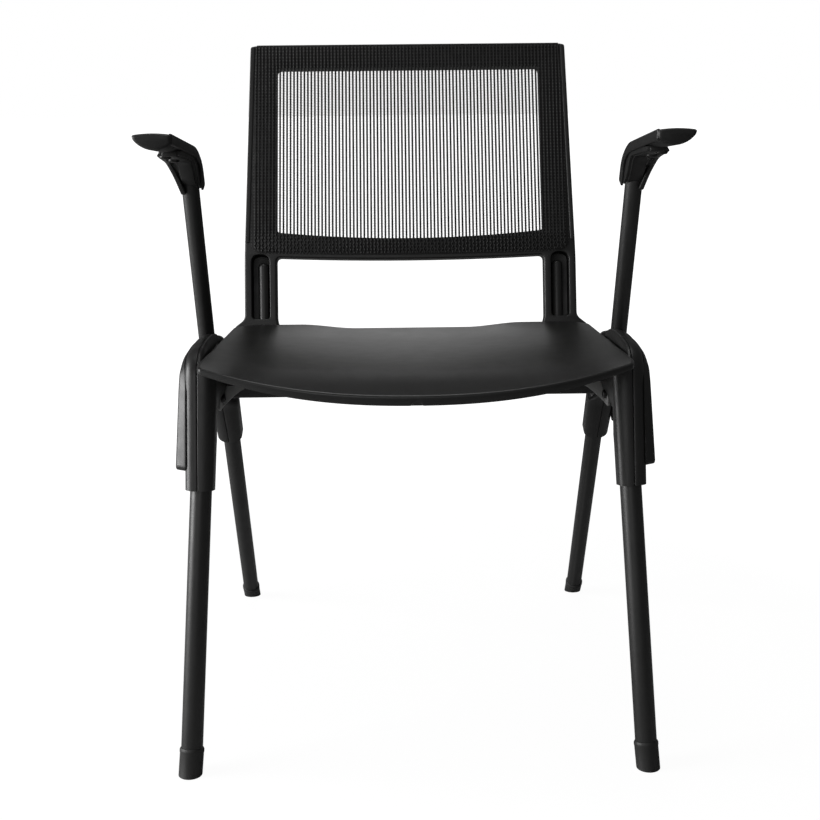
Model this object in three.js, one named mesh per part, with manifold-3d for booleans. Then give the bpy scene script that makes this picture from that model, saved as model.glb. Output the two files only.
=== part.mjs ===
// A nesting chair with a flip-up moulded seat, a mesh back and two armrests.
// Millimetres, +Z up. The chair faces -Y, and its own left side is at +X.
// The origin is on the floor, under the middle of the chair's bounding box.
import * as THREE from "three";
import { mergeVertices } from "three/addons/utils/BufferGeometryUtils.js";
import Module from "manifold-3d";

const wasm = await Module();
wasm.setup();

// Clearances
const seatedGap = 0.3; // between two pieces that touch on the real chair
const swingGap = 3; // between the swinging seat and the fixed frame
const overrun = 20; // how far a cutting tool runs past what it cuts

// Driving sizes: the width at the feet, the height of the seat and the spread of the legs at the hub
const frontFootX = 264;
const seatCornerHeight = 476;
const legsApartAtArch = 170.3;

// Legs, measured behind the front feet; the arch is the hub's edge between its two sleeves
const rearFootInset = 15; // the rear feet stand nearer the middle
const archDrop = 91; // below the seat's front corners
const frontRake = 0.254; // run back per unit of rise
const rearRake = 0.657; // run forward per unit of rise
const sideLean = 0.0425; // the side frames lean in towards the seat, radians
const frontTubeDiameter = 25;
const rearTubeDiameter = 22;
const legWall = 1.5;
const rearFootX = frontFootX - rearFootInset;
const archHeight = seatCornerHeight - archDrop;
const frontLegAtArch = frontRake * archHeight;
const rearLegAtArch = frontLegAtArch + legsApartAtArch;
const wheelbase = rearLegAtArch + rearRake * archHeight;

// Foot caps
const capWall = 1;
const capHeight = 30;
const frontTubeStart = 8; // height of the tube's end inside its cap
const rearTubeStart = 12;
const capRounding = 5;

// Seat shell
const seatInset = 25.5; // from the front feet
const seatAheadOfLegs = 80.8; // its front corners ahead of the front leg at the arch
const seatBehindLegs = 120.9; // its rear edge behind the rear leg at the arch
const seatNoseReach = 37; // how far the front edge bulges ahead of its corners
const seatNosePower = 2.5;
const seatFall = 24; // from its front corners to its rear ones
const seatDish = 13;
const seatDishPower = 2.2;
const seatWaterfall = 16;
const waterfallLength = 90;
const seatRearDish = 6; // what is left of the dish at the rear edge
const seatRearHollow = 75; // half the width of that hollow
const seatRearLevel = 150; // from the middle, where the rear edge is level
const seatRearRun = 100; // how far ahead of the rear edge the dish starts to flatten
const seatWall = 5;
const seatSideDepth = 7; // its rim at the sides and rear
const seatLip = 11; // its rim at the front
const seatFrontRounding = 26;
const seatFrontBite = 6;
const seatCornerRounding = 34;
const lipPower = 12; // how sharply each rim sets in: at the front, the sides and the rear
const sideRimPower = 14;
const rearRimPower = 20;
const seatColumns = 28;
const seatRows = 16;
const crowdShare = 0.9;
const seatHalfWidth = frontFootX - seatInset;
const seatFrontY = frontLegAtArch - seatAheadOfLegs;
const seatRearY = rearLegAtArch + seatBehindLegs;
const seatRearHeight = seatCornerHeight - seatFall;

// Seat carriage and its pivot
const pivotAheadOfRear = 99; // from the seat's rear edge
const pivotBelowBar = 13.1;
const pivotTubeDiameter = 18;
const pivotTubeWall = 2;
const pivotSocketDepth = 8;
const seatBarInset = 88.5; // from the seat's side edge
const seatBarWidth = 25;
const seatBarThickness = 5;
const seatBarSetBack = 53; // from the seat's front corners
const seatBarPastPivot = 16;
const seatScrewSetBack = 22; // from the bar's front end
const seatScrewAheadOfPivot = 28;
const seatBossHeight = 5;
const seatBossRadius = 9;
const bushWall = 2.4;
const saddleWall = 6;
const saddleWidth = 26;
const bumperRadius = 10;
const bumperEdge = 2;
const bumperSpace = 23.2; // between the front beam and the seat bar
const screwShankRadius = 3;
const screwHeadRadius = 6.5;
const screwHeadHeight = 3.5;
const seatScrewLength = 11;
const pivotY = seatRearY - pivotAheadOfRear;
const seatBarX = seatHalfWidth - seatBarInset;
const seatBarFrontY = seatFrontY + seatBarSetBack;
const seatBarRearY = pivotY + seatBarPastPivot;
const seatScrewYs = [seatBarFrontY + seatScrewSetBack, pivotY - seatScrewAheadOfPivot];

// Hub: the moulded joint on each side
const hubHalfThickness = 16;
const hubRounding = 8;
const hubFillet = 28; // where the sleeves run into the bridge
const hubCrestFillet = 45;
const hubShoulderFillet = 30;
const hubTailFillet = 12;
const hubCrestRise = 3; // above the seat's front corners
const hubShoulderDrop = 4; // below them
const hubCrestAheadOfTail = 127;
const hubTailHeight = 48;
const hubSeamOffset = 1.5; // outboard of the legs' plane at the front sleeve's end
const hubTailPastPivot = 32;
const hubTailAboveArch = 21;
const frontTubeAboveArch = 47;
const rearTubeAboveArch = 1;
const frontSleeveHalf = 16.5;
const rearSleeveHalf = 15.5;
const frontSleeveLength = 69; // below the arch
const rearSleeveLength = 65;
const hubPlateHalf = 3;
const sideCoverThickness = 13;
const sideCoverRounding = 3;
const sideCoverCorner = 6;
const sideCoverInset = 2.5;
const sideCoverRaise = 22;
const hubCrestHeight = seatCornerHeight + hubCrestRise;
const hubShoulderHeight = seatCornerHeight - hubShoulderDrop;
const hubTailY = pivotY + hubTailPastPivot;
const hubCrestY = hubTailY - hubCrestAheadOfTail;
const hubTailBottom = archHeight + hubTailAboveArch;
const hubTailTop = hubTailBottom + hubTailHeight;
const frontTubeTop = archHeight + frontTubeAboveArch;
const rearTubeTop = archHeight + rearTubeAboveArch;
const frontSleeveBottom = archHeight - frontSleeveLength;
const rearSleeveBottom = archHeight - rearSleeveLength;

// Front cross beam and the gussets that bolt it to the hubs
const beamAheadOfLeg = 68.1; // from the rear leg at the arch
const beamDepth = 30;
const beamHeight = 18;
const beamWall = 2;
const gussetPlate = 3;
const gussetHeight = 38;
const gussetReach = 32;
const gussetEar = 18; // how far its end plate runs ahead of the beam, for the bolt
const boltRise = 19; // below the beam's top
const boltHeadRadius = 5;
const boltHeadHeight = 4;
const beamY = rearLegAtArch - beamAheadOfLeg;

// Back: a flat moulded frame, leaning back from the rear edge of the seat
const backInset = 36; // from the front feet
const backBehindSeat = 12;
const backBelowSeat = 2;
const backRecline = 0.267; // radians
const backThickness = 22;
const backTaper = 11.5;
const backTop = 384;
const topRailWidth = 31;
const railBottom = 92;
const railBow = 4;
const railWidth = 34;
const windowBow = 9;
const sideRailTopWidth = 36;
const sideRailWidth = 44.5;
const frameCorner = 8;
const frameShoulderRounding = 16; // where the frame's sides turn from the uprights
const windowCorner = 6;
const uprightWidth = 44;
const uprightFootDrop = 8; // how far the uprights run on below the seat's rear edge
const slotWidth = 25;
const slotBottom = 7;
const slotPastRail = 3;
const slotFloor = 2.5;
const railCorner = 5;
const backY = seatRearY + backBehindSeat;
const backBottomHeight = seatRearHeight - backBelowSeat;
const backBottomHalf = frontFootX - backInset;
const backTopHalf = backBottomHalf - backTaper;
const windowTop = backTop - topRailWidth;
const windowBottom = railBottom + railWidth;
const windowTopHalf = backTopHalf - sideRailTopWidth;
const windowBottomHalf = backBottomHalf - sideRailWidth;
const uprightInnerX = backBottomHalf - uprightWidth;
const uprightX = backBottomHalf - uprightWidth / 2;
const slotTop = railBottom + slotPastRail;
const slotDepth = backThickness - slotFloor;

// Mesh fabric stretched over the front of the frame
const fabricThickness = 1.6;
const fabricRim = 8; // bare frame left showing outside the fabric
const fabricLowerRim = 6;
const fabricCorner = 12;
const fabricTopCorner = 4;
const netColumns = 74;
const netRows = 3;
const netRib = 1.7;
const netThread = 1.6;
const fabricBottom = railBottom + fabricLowerRim;

// Steel bars that carry the back
const backBarDiameter = 16;
const backBarInset = 15; // from the front feet
const backBarAheadOfPivot = 4;
const backBarBelowSeat = 11.5;
const backBarTurnBelow = 22;
const backBarEndDrop = 11; // below the top of its slot
const backBarBend = 15;
const backBarDepth = 10.5; // its axis behind the front face of the back
const stretcherDiameter = 16;
const stretcherSeat = 0.6; // how far its ends run into the back bars' bends
const backBarX = frontFootX - backBarInset;
const backBarStartY = pivotY - backBarAheadOfPivot;
const backBarStartHeight = seatRearHeight - backBarBelowSeat;
const backBarTop = slotTop - backBarEndDrop;

// Armrests
const armInset = 9; // from the front feet
const armAheadOfLeg = 41.1; // from the rear leg at the arch, where the tube leaves the hub
const armTubeDiameter = 20;
const armTubeWall = 1.5;
const armRake = 0.357;
const armPassDrop = 11; // below the hub's crest
const armTubeSeat = 60; // how deep the tube runs into the hub
const armTubeRise = 210; // above where it leaves the hub
const bracketHalf = 18;
const bracketOffset = 3; // its middle, outboard of the arm tube
const bracketRounding = 4;
const bracketKneeRounding = 22;
const bracketKneeBehindPad = 34; // where its top starts to turn down
const bracketKneeRise = 4; // above the tube's end, where it runs straight down
const bracketKneeRearRounding = 14;
const bracketThroat = 18;
const throatRounding = 11;
const bracketWebDepth = 9; // below the pad at its rear
const bracketSleeve = 26;
const bracketBand = 3.1; // the wall beside the pad's inner edge
const bracketBandDepth = 11;
const bracketSetBack = 56; // its nose behind the pad's front end
const bracketSlotLand = 6;
const padRise = 46; // above the tube's end
const padReach = 265; // its front end ahead of where the tube leaves the hub
const padLength = 134;
const padWidth = 36.5;
const padFrontThickness = 17;
const padRearThickness = 11;
const padFall = 17; // how much lower its top is at the rear
const padCrown = 1.5;
const padEdge = 1.5;
const padStations = 9;
const padArcSteps = 8;
const padLensPower = 0.7;
const padKeel = 0.3; // how far inboard of its middle it is thickest, as a share of half its width
const armScrewSetBack = 74;
const armScrewFromRear = 8;
const armScrewLength = 9;
const screwSink = 2;
const armX = frontFootX - armInset;
const armPassY = rearLegAtArch - armAheadOfLeg;
const armPassHeight = hubCrestHeight - armPassDrop;
const armFootHeight = armPassHeight - armTubeSeat;
const armTubeTop = armPassHeight + armTubeRise;
const bracketBottom = armTubeTop - bracketSleeve;
const padTop = armTubeTop + padRise;
const padFrontY = armPassY - padReach;
const padRearY = padFrontY + padLength;
const bracketInnerX = armX + bracketOffset - bracketHalf;
const padInnerX = bracketInnerX + bracketBand + seatedGap;
const bracketNoseY = padFrontY + bracketSetBack;
const armScrewYs = [padFrontY + armScrewSetBack, padRearY - armScrewFromRear];

// The origin's place: the middle between the pads' front ends and the rear caps
const rearCapReach = 14.8; // behind the rear feet
const originBehindFrontFeet = (padFrontY + wheelbase + rearCapReach) / 2;

// Sides of the round pieces, and steps along each curve
const legSides = 20;
const barSides = 14;
const smallSides = 12;
const plateArcSteps = 4;
const frameArcSteps = 6;
const bevelSteps = 3;
const bendSteps = 5;

const finishes = {
  tube: { color: 0x2b2b2c, roughness: 0.5, metalness: 0.4 },
  moulding: { color: 0x1f1f20, roughness: 0.55, metalness: 0 },
  seat: { color: 0x232324, roughness: 0.45, metalness: 0 },
  fabric: { color: 0x161616, roughness: 0.85, metalness: 0 },
  pad: { color: 0x1d1d1e, roughness: 0.6, metalness: 0 },
  rubber: { color: 0x151515, roughness: 0.8, metalness: 0 },
  greySteel: { color: 0x6d6e70, roughness: 0.45, metalness: 0.5 },
  screw: { color: 0x3a3a3c, roughness: 0.35, metalness: 0.9 },
};

// Booleans

function solidOf(geometry) {
  const bare = geometry.index ? geometry.toNonIndexed() : geometry.clone();
  bare.deleteAttribute("normal");
  bare.deleteAttribute("uv");
  const merged = mergeVertices(bare, 1e-4);
  return new wasm.Manifold(
    new wasm.Mesh({
      numProp: 3,
      vertProperties: merged.attributes.position.array,
      triVerts: new Uint32Array(merged.index.array),
    }),
  );
}

function geometryOf(solid) {
  const mesh = solid.getMesh();
  const geometry = new THREE.BufferGeometry();
  geometry.setAttribute("position", new THREE.BufferAttribute(mesh.vertProperties, 3));
  geometry.setIndex(new THREE.BufferAttribute(mesh.triVerts, 1));
  geometry.computeVertexNormals();
  return geometry;
}

function cut(geometry, ...tools) {
  return geometryOf(tools.reduce((rest, tool) => rest.subtract(solidOf(tool)), solidOf(geometry)));
}

function join(geometry, ...others) {
  return geometryOf(others.reduce((sum, other) => sum.add(solidOf(other)), solidOf(geometry)));
}

function keepInside(geometry, region) {
  return geometryOf(solidOf(geometry).intersect(solidOf(region)));
}

// Shapes

function point(x, y, z) {
  return new THREE.Vector3(x, y, z);
}

function ringPoints(radius, sides) {
  return Array.from({ length: sides }, (_, i) => {
    const turn = (2 * Math.PI * (i + 1 / 2)) / sides;
    return new THREE.Vector2(radius * Math.cos(turn), radius * Math.sin(turn));
  });
}

// A straight tube between two points, or a solid rod where the bore is zero.
function straightTube(from, to, radius, bore, sides) {
  const section = new THREE.Shape(ringPoints(radius, sides));
  if (bore) section.holes.push(new THREE.Path(ringPoints(bore, sides)));
  const extrudePath = new THREE.LineCurve3(from, to);
  return new THREE.ExtrudeGeometry(section, { steps: 1, bevelEnabled: false, extrudePath });
}

// An outline whose corners are rounded: each corner is [x, y, size], with no size where it is sharp.
function roundedOutline(corners, Kind = THREE.Shape) {
  const outline = new Kind();
  const places = corners.map(([x, y]) => new THREE.Vector2(x, y));
  corners.forEach(([, , size], i) => {
    const here = places[i];
    const before = places[(i + corners.length - 1) % corners.length];
    const after = places[(i + 1) % corners.length];
    const enter = here.clone().add(before.clone().sub(here).setLength(size));
    const leave = here.clone().add(after.clone().sub(here).setLength(size));
    if (i) outline.lineTo(enter.x, enter.y);
    else outline.moveTo(enter.x, enter.y);
    if (size) outline.quadraticCurveTo(here.x, here.y, leave.x, leave.y);
  });
  outline.closePath();
  return outline;
}

// Extrudes an outline drawn in (y, z) along X, from x0 to x1, with rounded edges where asked.
function sidePlate(outline, x0, x1, rounding = 0) {
  const geometry = new THREE.ExtrudeGeometry(outline, {
    depth: x1 - x0 - 2 * rounding,
    bevelEnabled: rounding > 0,
    bevelThickness: rounding,
    bevelSize: rounding,
    bevelOffset: -rounding,
    bevelSegments: bevelSteps,
    curveSegments: plateArcSteps,
  });
  geometry.translate(0, 0, x0 + rounding);
  return geometry.applyMatrix4(
    new THREE.Matrix4().makeBasis(point(0, 1, 0), point(0, 0, 1), point(1, 0, 0)),
  );
}

// Extrudes an outline drawn in (x, z) along Y, from y0 to y1.
function frontPlate(outline, y0, y1, curveSegments = plateArcSteps) {
  const geometry = new THREE.ExtrudeGeometry(outline, {
    depth: y1 - y0,
    bevelEnabled: false,
    curveSegments,
  });
  geometry.translate(0, 0, -y1);
  return geometry.applyMatrix4(
    new THREE.Matrix4().makeBasis(point(1, 0, 0), point(0, 0, 1), point(0, -1, 0)),
  );
}

function block(x0, x1, y0, y1, z0, z1) {
  const box = new THREE.BoxGeometry(x1 - x0, y1 - y0, z1 - z0);
  return box.translate((x0 + x1) / 2, (y0 + y1) / 2, (z0 + z1) / 2);
}

// A pan-head screw with its head's top face at z = 0 and its shank pointing up or down.
function screw(shankLength, direction) {
  const profile = [
    [0, -screwHeadHeight],
    [screwHeadRadius - screwHeadHeight / 2, -screwHeadHeight],
    [screwHeadRadius, -screwHeadHeight / 2],
    [screwHeadRadius, 0],
    [screwShankRadius, 0],
    [screwShankRadius, shankLength],
    [0, shankLength],
  ].map(([r, z]) => new THREE.Vector2(r, z));
  const geometry = new THREE.LatheGeometry(profile, smallSides);
  return geometry.rotateX((direction * Math.PI) / 2);
}

function mesh(name, geometry, finish) {
  const item = new THREE.Mesh(geometry, new THREE.MeshStandardMaterial(finishes[finish]));
  item.name = name;
  return item;
}

// The side frame is drawn flat, x outboard, y back and z up from the front foot, then leaned and turned in.

const frontRakeAngle = Math.atan(frontRake);
const rearRakeAngle = Math.atan(rearRake);
const sideTurn = Math.asin((frontFootX - rearFootX) / wheelbase);
const rearFootY = wheelbase / Math.cos(sideTurn);

function frontAxis(z) {
  return frontRake * z;
}

function rearAxis(z) {
  return rearFootY - rearRake * z;
}

// A point on a leg's side: half the leg's width ahead of (-1) or behind (1) its axis, square to it.
function besideFront(z, half, side) {
  const across = side * half;
  return [frontAxis(z) + across * Math.cos(frontRakeAngle), z - across * Math.sin(frontRakeAngle)];
}

function besideRear(z, half, side) {
  const across = side * half;
  return [rearAxis(z) + across * Math.cos(rearRakeAngle), z + across * Math.sin(rearRakeAngle)];
}

// Where a leg's side line crosses a height.
function frontEdge(z, half, side) {
  return [frontAxis(z) + (side * half) / Math.cos(frontRakeAngle), z];
}

function rearEdge(z, half, side) {
  return [rearAxis(z) + (side * half) / Math.cos(rearRakeAngle), z];
}

// The hub's side outline: two sleeves under a bridge, drawn on past the sleeves' ends by a length.
function hubOutline({ inset = 0, past = 0, corner = 0 }) {
  const front = frontSleeveHalf - inset;
  const rear = rearSleeveHalf - inset;
  const arch = archHeight + inset;
  const frontEnd = frontSleeveBottom - past;
  const rearEnd = rearSleeveBottom - past;
  return roundedOutline([
    [...besideFront(frontEnd, front, -1), corner],
    [...besideFront(frontEnd, front, 1), corner],
    [...frontEdge(arch, front, 1), hubFillet],
    [...rearEdge(arch, rear, -1), hubFillet],
    [...besideRear(rearEnd, rear, -1), corner],
    [...besideRear(rearEnd, rear, 1), corner],
    [...rearEdge(hubTailBottom + inset, rear, 1), corner],
    [hubTailY - inset, hubTailBottom + inset, corner],
    [hubTailY - inset, hubTailTop - inset, hubTailFillet],
    [hubCrestY, hubCrestHeight - inset, hubCrestFillet],
    [...frontEdge(hubShoulderHeight - inset, front, -1), hubShoulderFillet],
  ]);
}

// The frame of one side, and the same place in the chair's own axes

const sideFrameMatrix = new THREE.Matrix4().compose(
  point(frontFootX, 0, 0),
  new THREE.Quaternion().setFromEuler(new THREE.Euler(0, -sideLean, sideTurn, "ZYX")),
  point(1, 1, 1),
);
const intoSideFrame = sideFrameMatrix.clone().invert();

function inChair(x, y, z) {
  return point(x, y, z).applyMatrix4(sideFrameMatrix);
}

// Legs and their foot caps

function frontLegPoint(z) {
  return point(0, frontAxis(z), z);
}

function rearLegPoint(z) {
  return point(0, rearAxis(z), z);
}

const frontLeg = {
  at: frontLegPoint,
  rakeAngle: -frontRakeAngle,
  diameter: frontTubeDiameter,
  start: frontTubeStart,
  top: frontTubeTop,
};
const rearLeg = {
  at: rearLegPoint,
  rakeAngle: rearRakeAngle,
  diameter: rearTubeDiameter,
  start: rearTubeStart,
  top: rearTubeTop,
};

function legTube({ at, diameter, start, top }, extra = 0) {
  const bore = extra ? 0 : diameter / 2 - legWall;
  return straightTube(at(start), at(top + extra), diameter / 2 + extra, bore, legSides);
}

// A cup over the end of the tube, cut flat where it stands on the floor.
function footCap({ at, rakeAngle, diameter, start }) {
  const inner = diameter / 2 + seatedGap;
  const outer = inner + capWall;
  const below = outer * Math.tan(Math.abs(rakeAngle)) + capRounding;
  const cavity = start / Math.cos(rakeAngle) - seatedGap;
  const profile = [
    [0, -below],
    [outer - capRounding, -below],
    [outer, capRounding - below],
    [outer, capHeight - capWall],
    [outer - capWall / 2, capHeight],
    [inner, capHeight],
    [inner, cavity],
    [0, cavity],
  ].map(([r, z]) => new THREE.Vector2(r, z));
  const cup = new THREE.LatheGeometry(profile, legSides).rotateX(Math.PI / 2 + rakeAngle);
  cup.translate(...at(0).toArray());
  const { x, y } = at(0).applyMatrix4(sideFrameMatrix);
  const reach = outer + overrun;
  const floor = block(x - reach, x + reach, y - reach, y + reach, -reach, 0);
  return cut(cup, floor.applyMatrix4(intoSideFrame));
}

// A block that trims a sleeve square to its leg, below a height.
function sleeveEnd({ at, rakeAngle }, z) {
  const reach = hubHalfThickness + overrun;
  const trimmed = block(-reach, reach, -reach, reach, -reach, 0).rotateX(rakeAngle);
  return trimmed.translate(...at(z).toArray());
}

// The steel plate hidden in the hub, welded between the two leg tubes.
function hubPlate(grow) {
  const frontSide = frontTubeDiameter / 2 + seatedGap - grow;
  const rearHalf = rearTubeDiameter / 2 + grow;
  const rearEnd = rearTubeTop + seatedGap - grow;
  const low = archHeight + frontSleeveHalf - grow;
  const high = frontTubeTop + grow;
  const outline = new THREE.Shape(
    [
      frontEdge(low, frontSide, 1),
      [rearEdge(low, rearHalf, -1)[0] - grow, low],
      besideRear(rearEnd, rearHalf, -1),
      besideRear(rearEnd, rearHalf, 1),
      rearEdge(high, rearHalf, 1),
      frontEdge(high, frontSide, 1),
    ].map(([y, z]) => new THREE.Vector2(y, z)),
  );
  return sidePlate(outline, -hubPlateHalf - grow, hubPlateHalf + grow);
}

// Armrest tube and back bar, in the chair's axes

function armPoint(z) {
  return point(armX, armPassY - armRake * (z - armPassHeight), z);
}

function armTube(extra = 0) {
  const bore = extra ? 0 : armTubeDiameter / 2 - armTubeWall;
  return straightTube(
    armPoint(armFootHeight - extra),
    armPoint(armTubeTop + extra),
    armTubeDiameter / 2 + extra,
    bore,
    barSides,
  );
}

const backUp = point(0, Math.sin(backRecline), Math.cos(backRecline));
const backInto = point(0, Math.cos(backRecline), -Math.sin(backRecline));

function inBack(x, depth, rise) {
  return point(x, backY, backBottomHeight)
    .addScaledVector(backInto, depth)
    .addScaledVector(backUp, rise);
}

// Straight runs joined by bends, all in one path.
function bentPath(places, bend) {
  const path = new THREE.CurvePath();
  let from = places[0];
  places.slice(1, -1).forEach((corner, i) => {
    const enter = corner.clone().add(from.clone().sub(corner).setLength(bend));
    const leave = corner.clone().add(places[i + 2].clone().sub(corner).setLength(bend));
    path.add(new THREE.LineCurve3(from, enter));
    path.add(new THREE.QuadraticBezierCurve3(enter, corner, leave));
    from = leave;
  });
  path.add(new THREE.LineCurve3(from, places.at(-1)));
  return path;
}

function backBarPlaces() {
  const foot = inBack(uprightX, backBarDepth, -backBarTurnBelow);
  return [
    point(backBarX, backBarStartY, backBarStartHeight),
    point(backBarX, foot.y, foot.z),
    foot,
    inBack(uprightX, backBarDepth, backBarTop),
  ];
}

// The bar's sections stand square to the path at the middle of each bend and at its ends.
function backBar() {
  const path = bentPath(backBarPlaces(), backBarBend);
  return sweep(path, backBarDiameter / 2, barSides);
}

// A solid rod swept along a path of straight runs and bends, its rings kept untwisted.
function sweep(path, radius, sides) {
  const stations = [];
  for (const curve of path.curves) {
    const steps = curve.isLineCurve3 ? 1 : bendSteps;
    for (let i = stations.length ? 1 : 0; i <= steps; i++) {
      stations.push([curve.getPointAt(i / steps), curve.getTangentAt(i / steps)]);
    }
  }
  let across = point(0, 0, 1).cross(stations[0][1]).normalize();
  const rings = stations.map(([centre, tangent]) => {
    across = across.clone().addScaledVector(tangent, -across.dot(tangent)).normalize();
    const up = tangent.clone().cross(across);
    return ringPoints(radius, sides).map((p) =>
      centre.clone().addScaledVector(across, p.x).addScaledVector(up, p.y),
    );
  });
  return loft(rings);
}

// A closed body through rings of equally many points, each ring seen anticlockwise from the end.
function loft(rings) {
  const count = rings[0].length;
  const places = rings.flat();
  const indices = [];
  for (let r = 0; r + 1 < rings.length; r++) {
    for (let i = 0; i < count; i++) {
      const a = r * count + i;
      const b = r * count + ((i + 1) % count);
      indices.push(a, b, b + count, a, b + count, a + count);
    }
  }
  const last = (rings.length - 1) * count;
  for (let i = 1; i + 1 < count; i++) {
    indices.push(0, i + 1, i);
    indices.push(last, last + i, last + i + 1);
  }
  const geometry = new THREE.BufferGeometry().setFromPoints(places);
  geometry.setIndex(indices);
  geometry.computeVertexNormals();
  return geometry;
}

// Hub shells and the cover on the outside

// The legs lean but the hub stands upright: how far its seam and its outer side move out by a height.
function hubDrift(z) {
  return hubSeamOffset + sideLean * (z - frontSleeveBottom);
}

// Moves each vertex outboard by its share of that drift.
function drifted(geometry, shareAt) {
  const places = geometry.attributes.position;
  for (let i = 0; i < places.count; i++) {
    const x = places.getX(i);
    places.setX(i, x + shareAt(x) * hubDrift(places.getZ(i)));
  }
  return geometry;
}

function seatSideHeight(y) {
  const share = (y - seatFrontY) / (seatRearY - seatFrontY);
  return seatCornerHeight + share * (seatRearHeight - seatCornerHeight);
}

// Everything the swinging seat passes through beside the hub.
function seatPassage() {
  const clearX = seatHalfWidth + swingGap;
  const sunk = seatSideDepth + swingGap;
  const outline = new THREE.Shape(
    [
      [-overrun, seatSideHeight(-overrun) - sunk],
      [hubTailY + overrun, seatSideHeight(hubTailY + overrun) - sunk],
      [hubTailY + overrun, hubCrestHeight + overrun],
      [-overrun, hubCrestHeight + overrun],
    ].map(([y, z]) => new THREE.Vector2(y, z)),
  );
  return sidePlate(outline, seatHalfWidth - hubHalfThickness * 2, clearX).applyMatrix4(intoSideFrame);
}

// The tail behind the rear sleeve, from inboard as far as a place in X.
function tailPassage(reach) {
  const tailStart = rearEdge(hubTailBottom, rearSleeveHalf, 1)[0] + seatedGap;
  return block(
    seatHalfWidth - hubHalfThickness * 2,
    reach,
    tailStart,
    hubTailY + overrun,
    hubTailBottom - overrun,
    hubCrestHeight + overrun,
  ).applyMatrix4(intoSideFrame);
}

function pivotTube(extra = 0) {
  const reach = seatHalfWidth + swingGap + pivotSocketDepth + extra;
  const bore = extra ? 0 : pivotTubeDiameter / 2 - pivotTubeWall;
  return straightTube(
    point(-reach, pivotY, pivotHeight),
    point(reach, pivotY, pivotHeight),
    pivotTubeDiameter / 2 + extra,
    bore,
    barSides,
  );
}

function hubTools() {
  return [
    legTube(frontLeg, seatedGap),
    legTube(rearLeg, seatedGap),
    sleeveEnd(frontLeg, frontSleeveBottom),
    sleeveEnd(rearLeg, rearSleeveBottom),
    hubPlate(seatedGap),
    seatPassage(),
    armTube(seatedGap).applyMatrix4(intoSideFrame),
  ];
}

function hubShell(from, to) {
  const half = hubHalfThickness;
  const plate = sidePlate(hubOutline({ past: hubRounding + overrun }), -half, half, hubRounding);
  const whole = drifted(plate, (x) => (x + half) / (2 * half));
  const side = drifted(block(from, to, -overrun, wheelbase, 0, hubCrestHeight + overrun), () => 1);
  return keepInside(whole, side);
}

function innerShell() {
  const shell = hubShell(-2 * hubHalfThickness, -seatedGap / 2);
  return cut(shell, ...hubTools(), tailPassage(frontFootX), gussetBolt(seatedGap), pivotSocket());
}

function outerShell() {
  const shell = hubShell(seatedGap / 2, 2 * hubHalfThickness);
  const passage = tailPassage(seatHalfWidth + swingGap);
  return cut(shell, ...hubTools(), passage, barSocket(), pivotSocket());
}

function barSocket() {
  const [start, turn] = backBarPlaces();
  const away = start.clone().sub(turn).setLength(seatedGap);
  return straightTube(
    start.clone().add(away),
    turn,
    backBarDiameter / 2 + seatedGap,
    0,
    barSides,
  ).applyMatrix4(intoSideFrame);
}

function pivotSocket() {
  return pivotTube(seatedGap).applyMatrix4(intoSideFrame);
}

function sideCover() {
  const inner = hubHalfThickness + seatedGap;
  const outline = hubOutline({
    inset: sideCoverInset,
    past: -sideCoverRaise,
    corner: sideCoverCorner,
  });
  const outer = inner + sideCoverThickness;
  const plate = sidePlate(outline, inner, outer, sideCoverRounding);
  const cover = drifted(plate, (x) => (outer - x) / sideCoverThickness);
  return cut(cover, armTube(seatedGap).applyMatrix4(intoSideFrame), barSocket(), pivotSocket());
}

// Front cross beam, gussets and their bolts

const gussetInner = -hubHalfThickness - seatedGap - gussetPlate;

function gusset() {
  const half = beamDepth / 2 + gussetPlate;
  const bottom = beamTop - gussetHeight;
  const outer = gussetInner + gussetPlate;
  const plate = block(gussetInner, outer, beamY - half - gussetEar, beamY + half, bottom, beamTop);
  const web = new THREE.Shape([
    new THREE.Vector2(outer, beamTop),
    new THREE.Vector2(gussetInner - gussetReach, beamTop),
    new THREE.Vector2(outer, bottom),
  ]);
  const webFront = beamY - half - seatedGap;
  return cut(join(plate, frontPlate(web, webFront, webFront + gussetPlate)), gussetBolt(seatedGap));
}

function gussetBolt(extra = 0) {
  const shank = screwShankRadius + extra;
  const length = gussetPlate + hubHalfThickness / 2 + extra;
  const profile = [
    [0, -boltHeadHeight],
    [boltHeadRadius, -boltHeadHeight],
    [boltHeadRadius, 0],
    [shank, 0],
    [shank, length],
    [0, length],
  ].map(([r, z]) => new THREE.Vector2(r, z));
  const bolt = new THREE.LatheGeometry(profile, smallSides).rotateZ(-Math.PI / 2);
  const y = beamY - beamDepth / 2 - gussetPlate - gussetEar / 2;
  return bolt.translate(gussetInner - seatedGap, y, beamTop - boltRise);
}

function crossBeam() {
  const reach = inChair(gussetInner, beamY + beamDepth / 2, beamTop).x - seatedGap;
  const halfDepth = beamDepth / 2;
  const rectangle = (inset, Kind) =>
    roundedOutline(
      [
        [beamY - halfDepth + inset, beamTop - beamHeight + inset, beamWall],
        [beamY + halfDepth - inset, beamTop - beamHeight + inset, beamWall],
        [beamY + halfDepth - inset, beamTop - inset, beamWall],
        [beamY - halfDepth + inset, beamTop - inset, beamWall],
      ],
      Kind,
    );
  const outline = rectangle(0, THREE.Shape);
  outline.holes.push(rectangle(beamWall, THREE.Path));
  return sidePlate(outline, -reach, reach);
}

function rearStretcher() {
  const foot = backBarPlaces()[2];
  const reach = foot.x - backBarDiameter / 2 + stretcherSeat;
  return straightTube(
    point(-reach, foot.y, foot.z),
    point(reach, foot.y, foot.z),
    stretcherDiameter / 2,
    0,
    barSides,
  );
}

// Seat shell

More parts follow.
